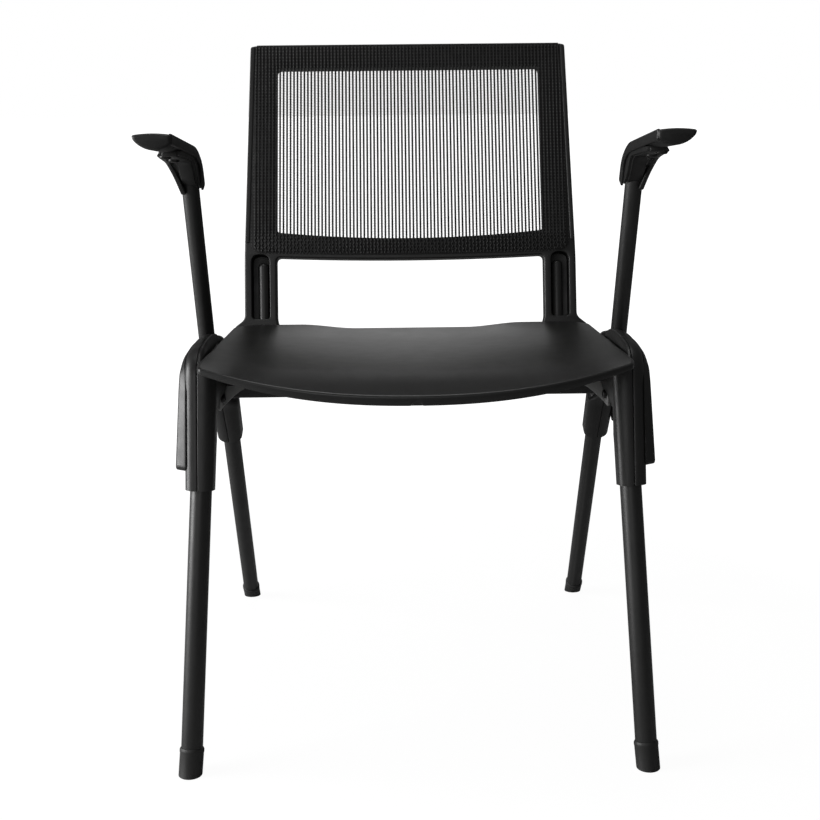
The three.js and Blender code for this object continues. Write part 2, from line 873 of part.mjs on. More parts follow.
function seatEdgeHalf(y) {
  const bite = (from, rounding) => 1 - Math.sqrt(1 - (1 - Math.min(1, from / rounding)) ** 2);
  const frontBite = seatFrontBite * bite(y - seatFrontY, seatFrontRounding);
  const rearBite = seatCornerRounding * bite(seatRearY - y, seatCornerRounding);
  return seatHalfWidth - frontBite - rearBite;
}

function seatNose(x) {
  return seatFrontY - seatNoseReach * (1 - Math.abs(x / seatHalfWidth) ** seatNosePower);
}

function seatTop(x, y) {
  const across = 1 - Math.min(1, Math.abs(x / seatHalfWidth)) ** seatDishPower;
  const fall = Math.min(1, Math.max(0, 1 - (y - seatNose(x)) / waterfallLength));
  const dish = across * (seatDish + seatWaterfall * fall ** 2);
  const level = THREE.MathUtils.smoothstep(Math.abs(x), seatRearHollow, seatRearLevel);
  const flat = Math.max(0, 1 - (seatRearY - y) / seatRearRun) ** 2;
  return seatSideHeight(y) - dish - flat * (seatRearDish * (1 - level) - dish);
}

function seatUnder(x, y) {
  return seatTop(x, y) - seatWall;
}

// Grid columns crowd towards the sides, where the shell turns up most.
function spread(u) {
  const widest = (Math.PI / 2) * crowdShare;
  return Math.sin(u * widest) / Math.sin(widest);
}

// The shell is a grid across and back, with its rim turned down round the edge.
function seatSheet() {
  const columns = seatColumns;
  const rows = seatRows;
  const places = [];
  for (const under of [false, true]) {
    for (let r = 0; r <= rows; r++) {
      for (let c = 0; c <= columns; c++) {
        const u = (2 * c) / columns - 1;
        const v = (1 - Math.cos((Math.PI * r) / rows)) / 2;
        const yAtSide = seatFrontY + v * (seatRearY - seatFrontY);
        const x = spread(u) * seatEdgeHalf(yAtSide);
        const y = yAtSide + (seatNose(x) - seatFrontY) * (1 - v);
        const frontShare = (1 - v) ** lipPower;
        const rimShare = Math.max(Math.abs(u) ** sideRimPower, v ** rearRimPower);
        const depth =
          seatWall + rimShare * (seatSideDepth - seatWall) + frontShare * (seatLip - seatWall);
        places.push(point(x, y, seatTop(x, y) - (under ? depth : 0)));
      }
    }
  }
  const across = columns + 1;
  const layer = across * (rows + 1);
  const indices = [];
  const quad = (a, b, c, d) => indices.push(a, b, c, a, c, d);
  for (let r = 0; r < rows; r++) {
    for (let c = 0; c < columns; c++) {
      const a = r * across + c;
      quad(a, a + 1, a + 1 + across, a + across);
      quad(layer + a, layer + a + across, layer + a + 1 + across, layer + a + 1);
    }
  }
  for (let c = 0; c < columns; c++) {
    const back = rows * across + c;
    quad(c, layer + c, layer + c + 1, c + 1);
    quad(back, back + 1, layer + back + 1, layer + back);
  }
  for (let r = 0; r < rows; r++) {
    const left = r * across;
    const right = left + columns;
    quad(left, left + across, layer + left + across, layer + left);
    quad(right, layer + right, layer + right + across, right + across);
  }
  const geometry = new THREE.BufferGeometry().setFromPoints(places);
  geometry.setIndex(indices);
  return geometry;
}

function seatShell() {
  const bosses = [-1, 1].flatMap((side) =>
    seatScrewYs.map((y) => {
      const x = side * seatBarX;
      const high = seatUnder(x, y) + seatWall / 2;
      const low = barTop(y - seatBossRadius) + seatedGap;
      const boss = new THREE.CylinderGeometry(seatBossRadius, seatBossRadius, high - low, smallSides);
      return boss.rotateX(Math.PI / 2).translate(x, y, (high + low) / 2);
    }),
  );
  const holes = [-1, 1].flatMap((side) =>
    seatScrewYs.map((y) =>
      straightTube(
        point(side * seatBarX, y, barTop(y) - overrun),
        point(side * seatBarX, y, barTop(y) - seatBarThickness + seatScrewLength + seatedGap),
        screwShankRadius + seatedGap,
        0,
        smallSides,
      ),
    ),
  );
  return cut(join(seatSheet(), ...bosses), ...holes);
}

// Seat bars, saddles, bushes, bumpers and screws

// The bar's top runs straight, one boss below the shell at each screw.
function barTop(y) {
  const [front, rear] = seatScrewYs;
  const highFront = seatUnder(seatBarX, front) - seatBossHeight;
  const highRear = seatUnder(seatBarX, rear) - seatBossHeight;
  return highFront + ((y - front) / (rear - front)) * (highRear - highFront);
}

function barUnder(y) {
  return barTop(y) - seatBarThickness;
}

const pivotHeight = barUnder(pivotY) - pivotBelowBar;
const beamTop = barUnder(beamY + bumperRadius) - bumperSpace;

function seatBar() {
  const outline = roundedOutline([
    [seatBarFrontY, barUnder(seatBarFrontY), 0],
    [seatBarRearY, barUnder(seatBarRearY), 0],
    [seatBarRearY, barTop(seatBarRearY), 0],
    [seatBarFrontY, barTop(seatBarFrontY), 0],
  ]);
  const bar = sidePlate(outline, seatBarX - seatBarWidth / 2, seatBarX + seatBarWidth / 2);
  const holes = seatScrewYs.map((y) =>
    straightTube(
      point(seatBarX, y, barUnder(y) - overrun),
      point(seatBarX, y, barTop(y) + overrun),
      screwShankRadius + seatedGap,
      0,
      smallSides,
    ),
  );
  return cut(bar, ...holes);
}

const bushInner = pivotTubeDiameter / 2 + seatedGap;
const bushOuter = bushInner + bushWall;
const saddleBore = bushOuter + seatedGap;

function saddle() {
  const half = saddleBore + saddleWall;
  const front = pivotY - half;
  const rear = Math.min(pivotY + half, seatBarRearY);
  const outline = roundedOutline([
    [front, pivotHeight - half, saddleBore],
    [rear, pivotHeight - half, saddleBore],
    [rear, barUnder(rear) - seatedGap, 0],
    [front, barUnder(front) - seatedGap, 0],
  ]);
  const body = sidePlate(outline, seatBarX - saddleWidth / 2, seatBarX + saddleWidth / 2);
  const bore = straightTube(
    point(seatBarX - saddleWidth, pivotY, pivotHeight),
    point(seatBarX + saddleWidth, pivotY, pivotHeight),
    saddleBore,
    0,
    legSides,
  );
  return cut(body, bore);
}

function bush() {
  const half = saddleWidth / 2 + seatedGap;
  return straightTube(
    point(seatBarX - half, pivotY, pivotHeight),
    point(seatBarX + half, pivotY, pivotHeight),
    bushOuter,
    bushInner,
    legSides,
  );
}

function bumper() {
  const low = beamTop + seatedGap;
  const high = barUnder(beamY + bumperRadius) - seatedGap;
  const profile = [
    [0, low],
    [bumperRadius - bumperEdge, low],
    [bumperRadius, low + bumperEdge],
    [bumperRadius, high],
    [0, high],
  ].map(([r, z]) => new THREE.Vector2(r, z));
  return new THREE.LatheGeometry(profile, smallSides).rotateX(Math.PI / 2).translate(seatBarX, beamY, 0);
}

function seatScrew(y) {
  return screw(seatScrewLength, 1).translate(seatBarX, y, barUnder(y + screwHeadRadius) - seatedGap);
}

// Back frame and mesh fabric, drawn flat in (x, rise)

function halfAt(rise, bottomHalf, topHalf, bottom, top) {
  return bottomHalf + ((rise - bottom) / (top - bottom)) * (topHalf - bottomHalf);
}

function windowHalf(rise) {
  return halfAt(rise, windowBottomHalf, windowTopHalf, windowBottom, windowTop);
}

function windowOutline(Kind) {
  return roundedOutline(
    [
      [-windowBottomHalf, windowBottom, windowCorner],
      [0, windowBottom - 2 * windowBow, windowBottomHalf - windowCorner * 2],
      [windowBottomHalf, windowBottom, windowCorner],
      [windowTopHalf, windowTop, windowCorner],
      [-windowTopHalf, windowTop, windowCorner],
    ],
    Kind,
  );
}

function backFrame() {
  const outline = roundedOutline([
    [-backBottomHalf, -uprightFootDrop, railCorner],
    [-uprightInnerX, -uprightFootDrop, railCorner],
    [-uprightInnerX, railBottom, railCorner],
    [0, railBottom - 2 * railBow, uprightInnerX - railCorner * 2],
    [uprightInnerX, railBottom, railCorner],
    [uprightInnerX, -uprightFootDrop, railCorner],
    [backBottomHalf, -uprightFootDrop, railCorner],
    [backBottomHalf, railBottom, frameShoulderRounding],
    [backTopHalf, backTop, frameCorner],
    [-backTopHalf, backTop, frameCorner],
    [-backBottomHalf, railBottom, frameShoulderRounding],
  ]);
  outline.holes.push(windowOutline(THREE.Path));
  const body = frontPlate(outline, 0, backThickness, frameArcSteps);
  const slots = [-1, 1].map((side) => {
    const x = side * uprightX;
    const half = slotWidth / 2;
    const slot = roundedOutline([
      [x - half, slotBottom, railCorner],
      [x + half, slotBottom, railCorner],
      [x + half, slotTop, half - seatedGap],
      [x - half, slotTop, half - seatedGap],
    ]);
    return frontPlate(slot, -overrun, slotDepth);
  });
  const barHoles = [-1, 1].map((side) =>
    straightTube(
      point(side * uprightX, backBarDepth, -overrun),
      point(side * uprightX, backBarDepth, slotBottom + overrun),
      backBarDiameter / 2 + seatedGap,
      0,
      barSides,
    ),
  );
  return cut(body, ...slots, ...barHoles);
}

// Closed prisms through the fabric, one for each gap of the net.
function netGaps() {
  const gaps = [];
  const inset = netRib;
  const rowPitch = (windowTop - windowBottom - inset) / netRows;
  for (let row = 0; row < netRows; row++) {
    for (let column = 0; column < netColumns; column++) {
      const low = windowBottom + inset + row * rowPitch;
      const high = low + rowPitch - netThread;
      const sides = [column, column + 1].map((edge, i) => (rise) => {
        const half = windowHalf(rise) - inset;
        const rib = (i ? -1 : 1) * (netRib / 2);
        return -half + (2 * half * edge) / netColumns + rib;
      });
      const bow = (x) => (row ? 0 : windowBow * (1 - (x / windowBottomHalf) ** 2));
      gaps.push(
        new THREE.Shape(
          [
            [sides[0](low), low - bow(sides[0](low))],
            [sides[1](low), low - bow(sides[1](low))],
            [sides[1](high), high],
            [sides[0](high), high],
          ].map(([x, z]) => new THREE.Vector2(x, z)),
        ),
      );
    }
  }
  return frontPlate(gaps, -overrun, overrun);
}

function meshFabric() {
  const outline = roundedOutline([
    [-fabricHalf(fabricBottom), fabricBottom, fabricCorner],
    [0, fabricBottom - 2 * railBow, fabricHalf(fabricBottom) - 2 * fabricCorner],
    [fabricHalf(fabricBottom), fabricBottom, fabricCorner],
    [fabricHalf(backTop), backTop - seatedGap, fabricTopCorner],
    [-fabricHalf(backTop), backTop - seatedGap, fabricTopCorner],
  ]);
  const sheet = frontPlate(outline, -seatedGap - fabricThickness, -seatedGap, frameArcSteps);
  return cut(sheet, netGaps());
}

function fabricHalf(rise) {
  return halfAt(rise, backBottomHalf, backTopHalf, railBottom, backTop) - fabricRim;
}

// Armrests

function padTopAt(y) {
  return padTop - (padFall * (y - padFrontY)) / (padRearY - padFrontY);
}

// A lens-bottomed pad, lofted from front to rear.
function armPad(extra = 0) {
  const rings = [];
  for (let s = 0; s <= padStations; s++) {
    const share = s / padStations;
    const y = padFrontY - extra + share * (padRearY - padFrontY + 2 * extra);
    const narrowed = s === 0 || s === padStations ? padEdge : 0;
    const half = padWidth / 2 + extra - narrowed;
    const taper = padFrontThickness + share * (padRearThickness - padFrontThickness);
    const thickness = taper + 2 * extra - 2 * narrowed;
    const top = padTopAt(y) + extra - narrowed;
    const middle = padInnerX + padWidth / 2;
    const crownAt = (across) => top - padCrown * across ** 2;
    const ring = [];
    for (let i = 0; i <= padArcSteps; i++) {
      const across = -Math.cos((Math.PI * i) / padArcSteps);
      ring.push(point(middle + half * across, y, crownAt(across)));
    }
    for (let i = 1; i < padArcSteps; i++) {
      const across = Math.cos((Math.PI * i) / padArcSteps);
      const fromKeel = (across + padKeel) / (1 + padKeel);
      const depth = thickness * (1 - fromKeel ** 2) ** padLensPower;
      ring.push(point(middle + half * across, y, crownAt(across) - depth));
    }
    rings.push(ring);
  }
  return loft(rings);
}

function armBracket() {
  const edgeTop = (y) => padTopAt(y) - padCrown;
  const sleeveHalf = armTubeDiameter / 2 + bracketRounding;
  const foot = armPoint(bracketBottom);
  const rise = armRake * sleeveHalf;
  const rearTop = edgeTop(padRearY);
  const noseTop = padTopAt(bracketNoseY) - padFrontThickness / 2;
  const kneeY = padRearY + bracketKneeBehindPad;
  const kneeLow = armTubeTop + bracketKneeRise;
  const throatY = armPoint(armTubeTop).y - sleeveHalf;
  const outline = roundedOutline([
    [foot.y - sleeveHalf, bracketBottom - rise, 0],
    [foot.y + sleeveHalf, bracketBottom + rise, 0],
    [armPoint(kneeLow).y + sleeveHalf, kneeLow, bracketKneeRearRounding],
    [kneeY, edgeTop(kneeY), bracketKneeRounding],
    [padRearY + seatedGap, rearTop, 0],
    [padRearY + seatedGap, rearTop - padRearThickness / 2, 0],
    [bracketNoseY, noseTop, 0],
    [bracketNoseY, padTopAt(bracketNoseY) - padFrontThickness - 2 * padCrown, 0],
    [throatY - bracketThroat, rearTop - padRearThickness - bracketWebDepth, throatRounding],
    [throatY, armTubeTop - bracketWebDepth, throatRounding],
  ]);
  const body = sidePlate(
    outline,
    bracketInnerX,
    bracketInnerX + 2 * bracketHalf,
    bracketRounding,
  );
  const bandEnd = padRearY + bracketBandDepth;
  const band = roundedOutline([
    [padFrontY, edgeTop(padFrontY) - bracketBandDepth, bracketRounding],
    [bandEnd, edgeTop(bandEnd) - bracketBandDepth, 0],
    [bandEnd, edgeTop(bandEnd), 0],
    [padFrontY, edgeTop(padFrontY), bracketRounding / 2],
  ]);
  const whole = join(body, sidePlate(band, bracketInnerX, bracketInnerX + bracketBand));
  const slotRun = armTubeTop - bracketBottom;
  const slot = block(
    -armTubeDiameter / 2 - seatedGap,
    armTubeDiameter / 2 + seatedGap,
    -sleeveHalf - overrun,
    0,
    -slotRun,
    slotRun - bracketSlotLand,
  );
  slot.rotateX(Math.atan(armRake)).translate(...foot.toArray());
  return cut(whole, armTube(seatedGap), slot, armPad(seatedGap), ...armScrewYs.map(armScrewHole));
}

// Two screws fix the pad to its bracket from below.
function bracketUnder(y) {
  const noseUnder = padTopAt(bracketNoseY) - padFrontThickness - 2 * padCrown;
  const throat = armPoint(armTubeTop).y - armTubeDiameter / 2 - bracketRounding - bracketThroat;
  const throatUnder = padTopAt(padRearY) - padCrown - padRearThickness - bracketWebDepth;
  const share = (y - bracketNoseY) / (throat - bracketNoseY);
  return noseUnder + share * (throatUnder - noseUnder);
}

function armScrew(y) {
  return screw(armScrewLength, 1).translate(padInnerX + padWidth / 2, y, armScrewSeat(y) - seatedGap);
}

function armScrewSeat(y) {
  return bracketUnder(y + screwHeadRadius) + screwSink;
}

function armScrewHole(y) {
  const x = padInnerX + padWidth / 2;
  const seat = armScrewSeat(y);
  const shank = straightTube(
    point(x, y, seat - overrun),
    point(x, y, seat + armScrewLength),
    screwShankRadius + seatedGap,
    0,
    smallSides,
  );
  const head = straightTube(
    point(x, y, seat - overrun),
    point(x, y, seat),
    screwHeadRadius + seatedGap,
    0,
    smallSides,
  );
  return join(shank, head);
}

const chair = new THREE.Group();

function addSide(side, suffix) {
  const half = new THREE.Group();
  half.scale.x = side;
  const frame = new THREE.Group();
  frame.applyMatrix4(sideFrameMatrix);
  half.add(frame);
  const put = (group, name, geometry, finish) => group.add(mesh(name + suffix, geometry, finish));
  put(frame, "front_leg_", legTube(frontLeg), "tube");
  put(frame, "rear_leg_", legTube(rearLeg), "tube");
  put(frame, "front_foot_cap_", footCap(frontLeg), "rubber");
  put(frame, "rear_foot_cap_", footCap(rearLeg), "rubber");
  put(frame, "hub_plate_", hubPlate(0), "greySteel");
  put(frame, "hub_inner_shell_", innerShell(), "moulding");
  put(frame, "hub_outer_shell_", outerShell(), "moulding");
  put(frame, "side_cover_", sideCover(), "moulding");
  put(frame, "beam_gusset_", gusset(), "greySteel");
  put(frame, "gusset_bolt_", gussetBolt(), "screw");
  put(half, "arm_tube_", armTube(), "tube");
  put(half, "arm_bracket_", armBracket(), "moulding");
  put(half, "arm_pad_", cut(armPad(), ...armScrewYs.map(armScrewHole)), "pad");
  armScrewYs.forEach((y, i) => {
    put(half, ["arm_screw_front_", "arm_screw_rear_"][i], armScrew(y), "screw");
  });
  put(half, "back_bar_", backBar(), "tube");
  put(half, "seat_bar_", seatBar(), "tube");
  put(half, "seat_saddle_", saddle(), "moulding");
  put(half, "seat_bush_", bush(), "moulding");
  put(half, "seat_bumper_", bumper(), "rubber");
  seatScrewYs.forEach((y, i) => {
    put(half, ["seat_screw_front_", "seat_screw_rear_"][i], seatScrew(y), "screw");
  });
  chair.add(half);
}

addSide(1, "left");
addSide(-1, "right");
chair.add(mesh("front_beam", crossBeam(), "tube"));
chair.add(mesh("pivot_tube", pivotTube(), "tube"));
chair.add(mesh("rear_stretcher", rearStretcher(), "tube"));
chair.add(mesh("seat_shell", seatShell(), "seat"));

const back = new THREE.Group();
back.position.set(0, backY, backBottomHeight);
back.rotation.x = -backRecline;
back.add(mesh("back_frame", backFrame(), "moulding"));
back.add(mesh("mesh_fabric", meshFabric(), "fabric"));
chair.add(back);

chair.position.y = -originBehindFrontFeet;
export default chair;
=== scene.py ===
import math

import bmesh
import bpy
from mathutils import Matrix, Vector
from mathutils.geometry import tessellate_polygon


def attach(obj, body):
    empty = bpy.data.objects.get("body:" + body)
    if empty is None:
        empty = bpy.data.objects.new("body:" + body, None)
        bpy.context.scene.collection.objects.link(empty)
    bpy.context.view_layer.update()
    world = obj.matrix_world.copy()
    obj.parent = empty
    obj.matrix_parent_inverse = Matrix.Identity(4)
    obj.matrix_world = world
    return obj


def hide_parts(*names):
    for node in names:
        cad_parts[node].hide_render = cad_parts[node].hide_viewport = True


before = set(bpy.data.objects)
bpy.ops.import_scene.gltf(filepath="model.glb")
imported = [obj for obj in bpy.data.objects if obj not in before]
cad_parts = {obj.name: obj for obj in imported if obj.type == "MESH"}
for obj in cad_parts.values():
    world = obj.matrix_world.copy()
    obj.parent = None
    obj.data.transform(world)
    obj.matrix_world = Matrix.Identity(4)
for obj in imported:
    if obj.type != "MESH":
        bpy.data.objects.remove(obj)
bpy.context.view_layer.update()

# The chair's sizes are in millimetres here, from the floor, with y behind the front feet
ORIGIN_BEHIND = 248.9
MM = 0.001


def in_metres(p):
    return Vector((p[0] * MM, (p[1] - ORIGIN_BEHIND) * MM, p[2] * MM))


# Camera

CAMERA_PLACE = (-21.7, -1315.7, 769.5)
CAMERA_YAW, CAMERA_PITCH, CAMERA_ROLL = 0.0110, 0.2529, -0.0099
FOCAL_PIXELS, PICTURE_PIXELS, SENSOR = 1267.3, 820, 36


def add_camera():
    yaw, pitch, roll = CAMERA_YAW, CAMERA_PITCH, CAMERA_ROLL
    ahead = Vector((math.sin(yaw) * math.cos(pitch), math.cos(yaw) * math.cos(pitch), -math.sin(pitch)))
    level = Vector((math.cos(yaw), -math.sin(yaw), 0))
    up = level.cross(ahead)
    right = math.cos(roll) * level + math.sin(roll) * up
    above = -math.sin(roll) * level + math.cos(roll) * up
    data = bpy.data.cameras.new("camera")
    data.sensor_width = SENSOR
    data.sensor_fit = "HORIZONTAL"
    data.lens = FOCAL_PIXELS / PICTURE_PIXELS * SENSOR
    data.clip_start, data.clip_end = 0.05, 50
    camera = bpy.data.objects.new("camera", data)
    bpy.context.scene.collection.objects.link(camera)
    turn = Matrix((right, above, -ahead)).transposed().to_4x4()
    camera.matrix_world = Matrix.Translation(in_metres(CAMERA_PLACE)) @ turn
    bpy.context.scene.camera = camera


add_camera()


# Materials: each has its grain at real scale, in metres of the object's own space

class Nodes:
    """A node tree, with a short way to add and join nodes."""

    def __init__(self, tree):
        self.tree = tree

    def add(self, kind, **settings):
        node = self.tree.nodes.new(kind)
        for key, value in settings.items():
            setattr(node, key, value)
        return node

    def join(self, a, b):
        self.tree.links.new(a, b)

    def remap(self, value, low, high, start=0.3, end=0.7, way="LINEAR"):
        node = self.add("ShaderNodeMapRange", interpolation_type=way)
        node.inputs["From Min"].default_value = start
        node.inputs["From Max"].default_value = end
        node.inputs["To Min"].default_value = low
        node.inputs["To Max"].default_value = high
        self.join(value, node.inputs["Value"])
        return node.outputs["Result"]


class Finish(Nodes):
    """The nodes of a material that the chair is made of."""

    def __init__(self, name):
        self.material = bpy.data.materials.new(name)
        self.material.use_nodes = True
        super().__init__(self.material.node_tree)
        self.shader = self.tree.nodes["Principled BSDF"]
        self.place = self.add("ShaderNodeTexCoord").outputs["Object"]

    def noise(self, size_mm, detail, stretch=(1, 1, 1)):
        node = self.add("ShaderNodeTexNoise")
        node.inputs["Scale"].default_value = 1
        node.inputs["Detail"].default_value = detail
        scaled = self.add("ShaderNodeMapping")
        scaled.inputs["Scale"].default_value = [s / (size_mm * MM) for s in stretch]
        self.join(self.place, scaled.inputs["Vector"])
        self.join(scaled.outputs["Vector"], node.inputs["Vector"])
        return node.outputs["Fac"]

    def ramp(self, value, low, high, start=0.35, end=0.65):
        node = self.add("ShaderNodeValToRGB")
        node.color_ramp.elements[0].position = start
        node.color_ramp.elements[1].position = end
        node.color_ramp.elements[0].color = (*low, 1)
        node.color_ramp.elements[1].color = (*high, 1)
        self.join(value, node.inputs["Fac"])
        return node.outputs["Color"]

    def bump(self, height, depth_mm):
        node = self.add("ShaderNodeBump")
        node.inputs["Strength"].default_value = 1
        node.inputs["Distance"].default_value = depth_mm * MM
        self.join(height, node.inputs["Height"])
        self.join(node.outputs["Normal"], self.shader.inputs["Normal"])


def grey(value):
    return (value, value, value * 0.985)


def coated(
    name, tone, rough, grain_mm, depth_mm, metal=0.0, coat=0.0, blotch_mm=45, edge_highlight=0.35, uneven=0.05
):
    """A moulded or coated finish: fine grain, faint mottling, and sharp edges made paler as a painted
    highlight.
    """
    n = Finish(name)
    n.shader.inputs["Metallic"].default_value = metal
    n.shader.inputs["Coat Weight"].default_value = coat
    n.shader.inputs["Coat Roughness"].default_value = 0.25
    blotch = n.noise(blotch_mm, 3)
    shade = n.ramp(blotch, grey(tone * 0.9), grey(tone * 1.1))
    # Painted highlight: sharp convex edges are mixed towards a paler grey, by the share given in the last
    # argument.
    edge = n.add("ShaderNodeNewGeometry").outputs["Pointiness"]
    painted_edge_highlight = n.remap(edge, 0, edge_highlight, 0.53, 0.62)
    mix = n.add("ShaderNodeMix", data_type="RGBA")
    n.join(painted_edge_highlight, mix.inputs["Factor"])
    n.join(shade, mix.inputs["A"])
    mix.inputs["B"].default_value = (*grey(tone * 2.2 + 0.01), 1)
    n.join(mix.outputs["Result"], n.shader.inputs["Base Color"])
    n.join(n.remap(n.noise(18, 4), rough - uneven, rough + uneven), n.shader.inputs["Roughness"])
    n.bump(n.noise(grain_mm, 2), depth_mm)
    return n.material


# The last of these is the paler grey of the painted highlight on the raised stitches.
STITCH_ACROSS, STITCH_ALONG, STITCH_HIGHLIGHT_TONE = 4.7, 4.2, 0.042


def knit(name, tone):
    """Knitted polyester yarn: twisted strands with a soft sheen, and a painted highlight that makes the
    raised stitches paler.
    """
    n = Finish(name)
    n.shader.inputs["Specular IOR Level"].default_value = 0.25
    n.shader.inputs["Sheen Weight"].default_value = 0.06
    n.shader.inputs["Sheen Roughness"].default_value = 0.5
    strands = n.ramp(n.noise(1.1, 2, (1, 1, 0.45)), grey(tone * 0.55), grey(tone * 1.5))
    # Painted highlight: a grid of bands marks the raised stitches, which are mixed towards a paler grey.
    stitch_highlights = n.add("ShaderNodeMath", operation="MULTIPLY")
    for axis, pitch_mm, slot in (("X", STITCH_ACROSS, 0), ("Z", STITCH_ALONG, 1)):
        bands = n.add("ShaderNodeTexWave", bands_direction=axis)
        bands.inputs["Scale"].default_value = math.pi / (10 * pitch_mm * MM)
        n.join(n.place, bands.inputs["Vector"])
        n.join(bands.outputs["Fac"], stitch_highlights.inputs[slot])
    mix = n.add("ShaderNodeMix", data_type="RGBA")
    n.join(n.remap(stitch_highlights.outputs[0], 0, 1, 0.45, 0.9), mix.inputs["Factor"])
    n.join(strands, mix.inputs["A"])
    mix.inputs["B"].default_value = (*grey(STITCH_HIGHLIGHT_TONE), 1)
    n.join(mix.outputs["Result"], n.shader.inputs["Base Color"])
    n.join(n.remap(n.noise(9, 3), 0.62, 0.8), n.shader.inputs["Roughness"])
    n.bump(n.noise(0.7, 2, (1, 1, 0.4)), 0.12)
    return n.material


def cushioned(name, tone):
    """Self-skinned foam: pebbled skin with a dull sheen."""
    n = Finish(name)
    cells = n.add("ShaderNodeTexVoronoi")
    scaled = n.add("ShaderNodeMapping")
    scaled.inputs["Scale"].default_value = [1 / (0.9 * MM)] * 3
    cells.inputs["Scale"].default_value = 1
    n.join(n.place, scaled.inputs["Vector"])
    n.join(scaled.outputs["Vector"], cells.inputs["Vector"])
    n.join(n.ramp(n.noise(30, 3), grey(tone * 0.88), grey(tone * 1.15)), n.shader.inputs["Base Color"])
    n.join(n.remap(n.noise(12, 3), 0.48, 0.6), n.shader.inputs["Roughness"])
    n.bump(cells.outputs["Distance"], 0.06)
    return n.material


TUBE = coated("powder_coated_steel", 0.016, 0.46, 0.55, 0.02, coat=0.1)
MOULDING = coated("fine_grained_nylon", 0.012, 0.42, 0.7, 0.02, edge_highlight=0.3)
SEAT = coated("satin_polypropylene", 0.014, 0.35, 0.9, 0.006, blotch_mm=70, edge_highlight=0.2, uneven=0.015)
FRAME = coated("back_frame_nylon", 0.009, 0.46, 0.7, 0.03, edge_highlight=0.25)
YARN = knit("mesh_yarn", 0.007)
PAD = cushioned("skinned_foam", 0.008)
RUBBER = coated("cap_rubber", 0.018, 0.55, 0.4, 0.02, edge_highlight=0.2)
GREY_STEEL = coated("grey_painted_steel", 0.26, 0.45, 0.5, 0.02, metal=0.2)
SCREW = coated("blackened_screw", 0.035, 0.32, 0.3, 0.01, metal=0.8)


# Shapes in millimetres

class Shape:
    """Points and faces of one piece."""

    def __init__(self):
        self.points, self.faces = [], []

    def ring(self, points):
        start = len(self.points)
        self.points += [Vector(p) for p in points]
        return list(range(start, len(self.points)))

    def bridge(self, a, b, closed=True):
        count = len(a)
        for i in range(count if closed else count - 1):
            j = (i + 1) % count
            self.faces.append((a[i], a[j], b[j], b[i]))

    def fill(self, *loops):
        flat = [i for loop in loops for i in loop]
        for triangle in tessellate_polygon([[self.points[i] for i in loop] for loop in loops]):
            self.faces.append(tuple(flat[i] for i in triangle))

    def skin(self, rings):
        for a, b in zip(rings, rings[1:]):
            self.bridge(a, b)

    def moved(self, how):
        made = Shape()
        made.points = [how(p) for p in self.points]
        made.faces = list(self.faces)
        return made

    def capped(self, rings):
        """Skins the rings and fills both ends."""
        self.skin(rings)
        self.fill(rings[0])
        self.fill(rings[-1])
        return self

    def add(self, other):
        start = len(self.points)
        self.points += other.points
        self.faces += [tuple(i + start for i in face) for face in other.faces]
        return self


def mirrored(p):
    return Vector((-p[0], p[1], p[2]))


def make(name, shape, material, body, replaces=(), sharp=32):
    mesh = bpy.data.meshes.new(name)
    mesh.from_pydata([in_metres(p) for p in shape.points], [], shape.faces)
    clean = bmesh.new()
    clean.from_mesh(mesh)
    bmesh.ops.remove_doubles(clean, verts=clean.verts, dist=2e-6)
    bmesh.ops.recalc_face_normals(clean, faces=clean.faces)
    clean.to_mesh(mesh)
    clean.free()
    mesh.polygons.foreach_set("use_smooth", [True] * len(mesh.polygons))
    mesh.set_sharp_from_angle(angle=math.radians(sharp))
    mesh.materials.append(material)
    piece = bpy.data.objects.new(name, mesh)
    bpy.context.scene.collection.objects.link(piece)
    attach(piece, body)
    if replaces:
        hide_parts(*replaces)
    return piece


def both(name, shape, material, body, replaces=(), sharp=32):
    """The same piece on both sides: drawn on the chair's left, mirrored on its right."""
    made = []
    for suffix, built in (("left", shape), ("right", shape.moved(mirrored))):
        nodes = [f"{node}_{suffix}" for node in replaces]
        made.append(make(f"{name}_{suffix}", built, material, body, nodes, sharp))
    return made


def turned(count, radius):
    turns = [2 * math.pi * i / count for i in range(count)]
    return [(radius * math.cos(t), radius * math.sin(t)) for t in turns]


def smooth(share):
    share = min(1, max(0, share))
    return share * share * (3 - 2 * share)


def frames_along(path):
    """A centre and two axes square to the path at each of its points, without twist."""
    places = [Vector(p) for p in path]
    across, frames = None, []
    for i, centre in enumerate(places):
        before, after = places[max(0, i - 1)], places[min(len(places) - 1, i + 1)]
        along = (after - before).normalized()
        if across is None:
            across = along.orthogonal().normalized()
        across = (across - along * across.dot(along)).normalized()
        frames.append((centre, across, along.cross(across), along))
    return frames


ROUND_STEPS = 5


def quarter(steps):
    """The angles of a quarter turn, from nought."""
    return [math.pi / 2 * k / steps for k in range(steps + 1)]


def tube(path, radius, sides=48, ends=(0.8, 0.8)):
    """A round bar along a path, with an edge rounding at each end."""
    shape = Shape()
    frames = frames_along(path)

    def ring(index, r, shift=0.0):
        centre, a, b, along = frames[index]
        return shape.ring([centre + along * shift + a * x + b * y for x, y in turned(sides, r)])

    turns = quarter(ROUND_STEPS)
    low, high = ends
    rings = [ring(0, radius - low * (1 - math.sin(t)), low * (1 - math.cos(t))) for t in turns]
    rings += [ring(i, radius) for i in range(1, len(frames) - 1)]
    rings += [
        ring(-1, radius - high * (1 - math.sin(t)), -high * (1 - math.cos(t))) for t in reversed(turns)
    ]
    return shape.capped(rings)


def rounded_path(corners, bend, steps=12):
    """Straight runs joined by bends, each a quadratic curve."""
    places = [Vector(c) for c in corners]
    path = [places[0]]
    for before, here, after in zip(places, places[1:], places[2:]):
        enter = here + (before - here).normalized() * bend
        leave = here + (after - here).normalized() * bend
        for i in range(steps + 1):
            t = i / steps
            path.append(enter.lerp(here, t).lerp(here.lerp(leave, t), t))
    path.append(places[-1])
    return path


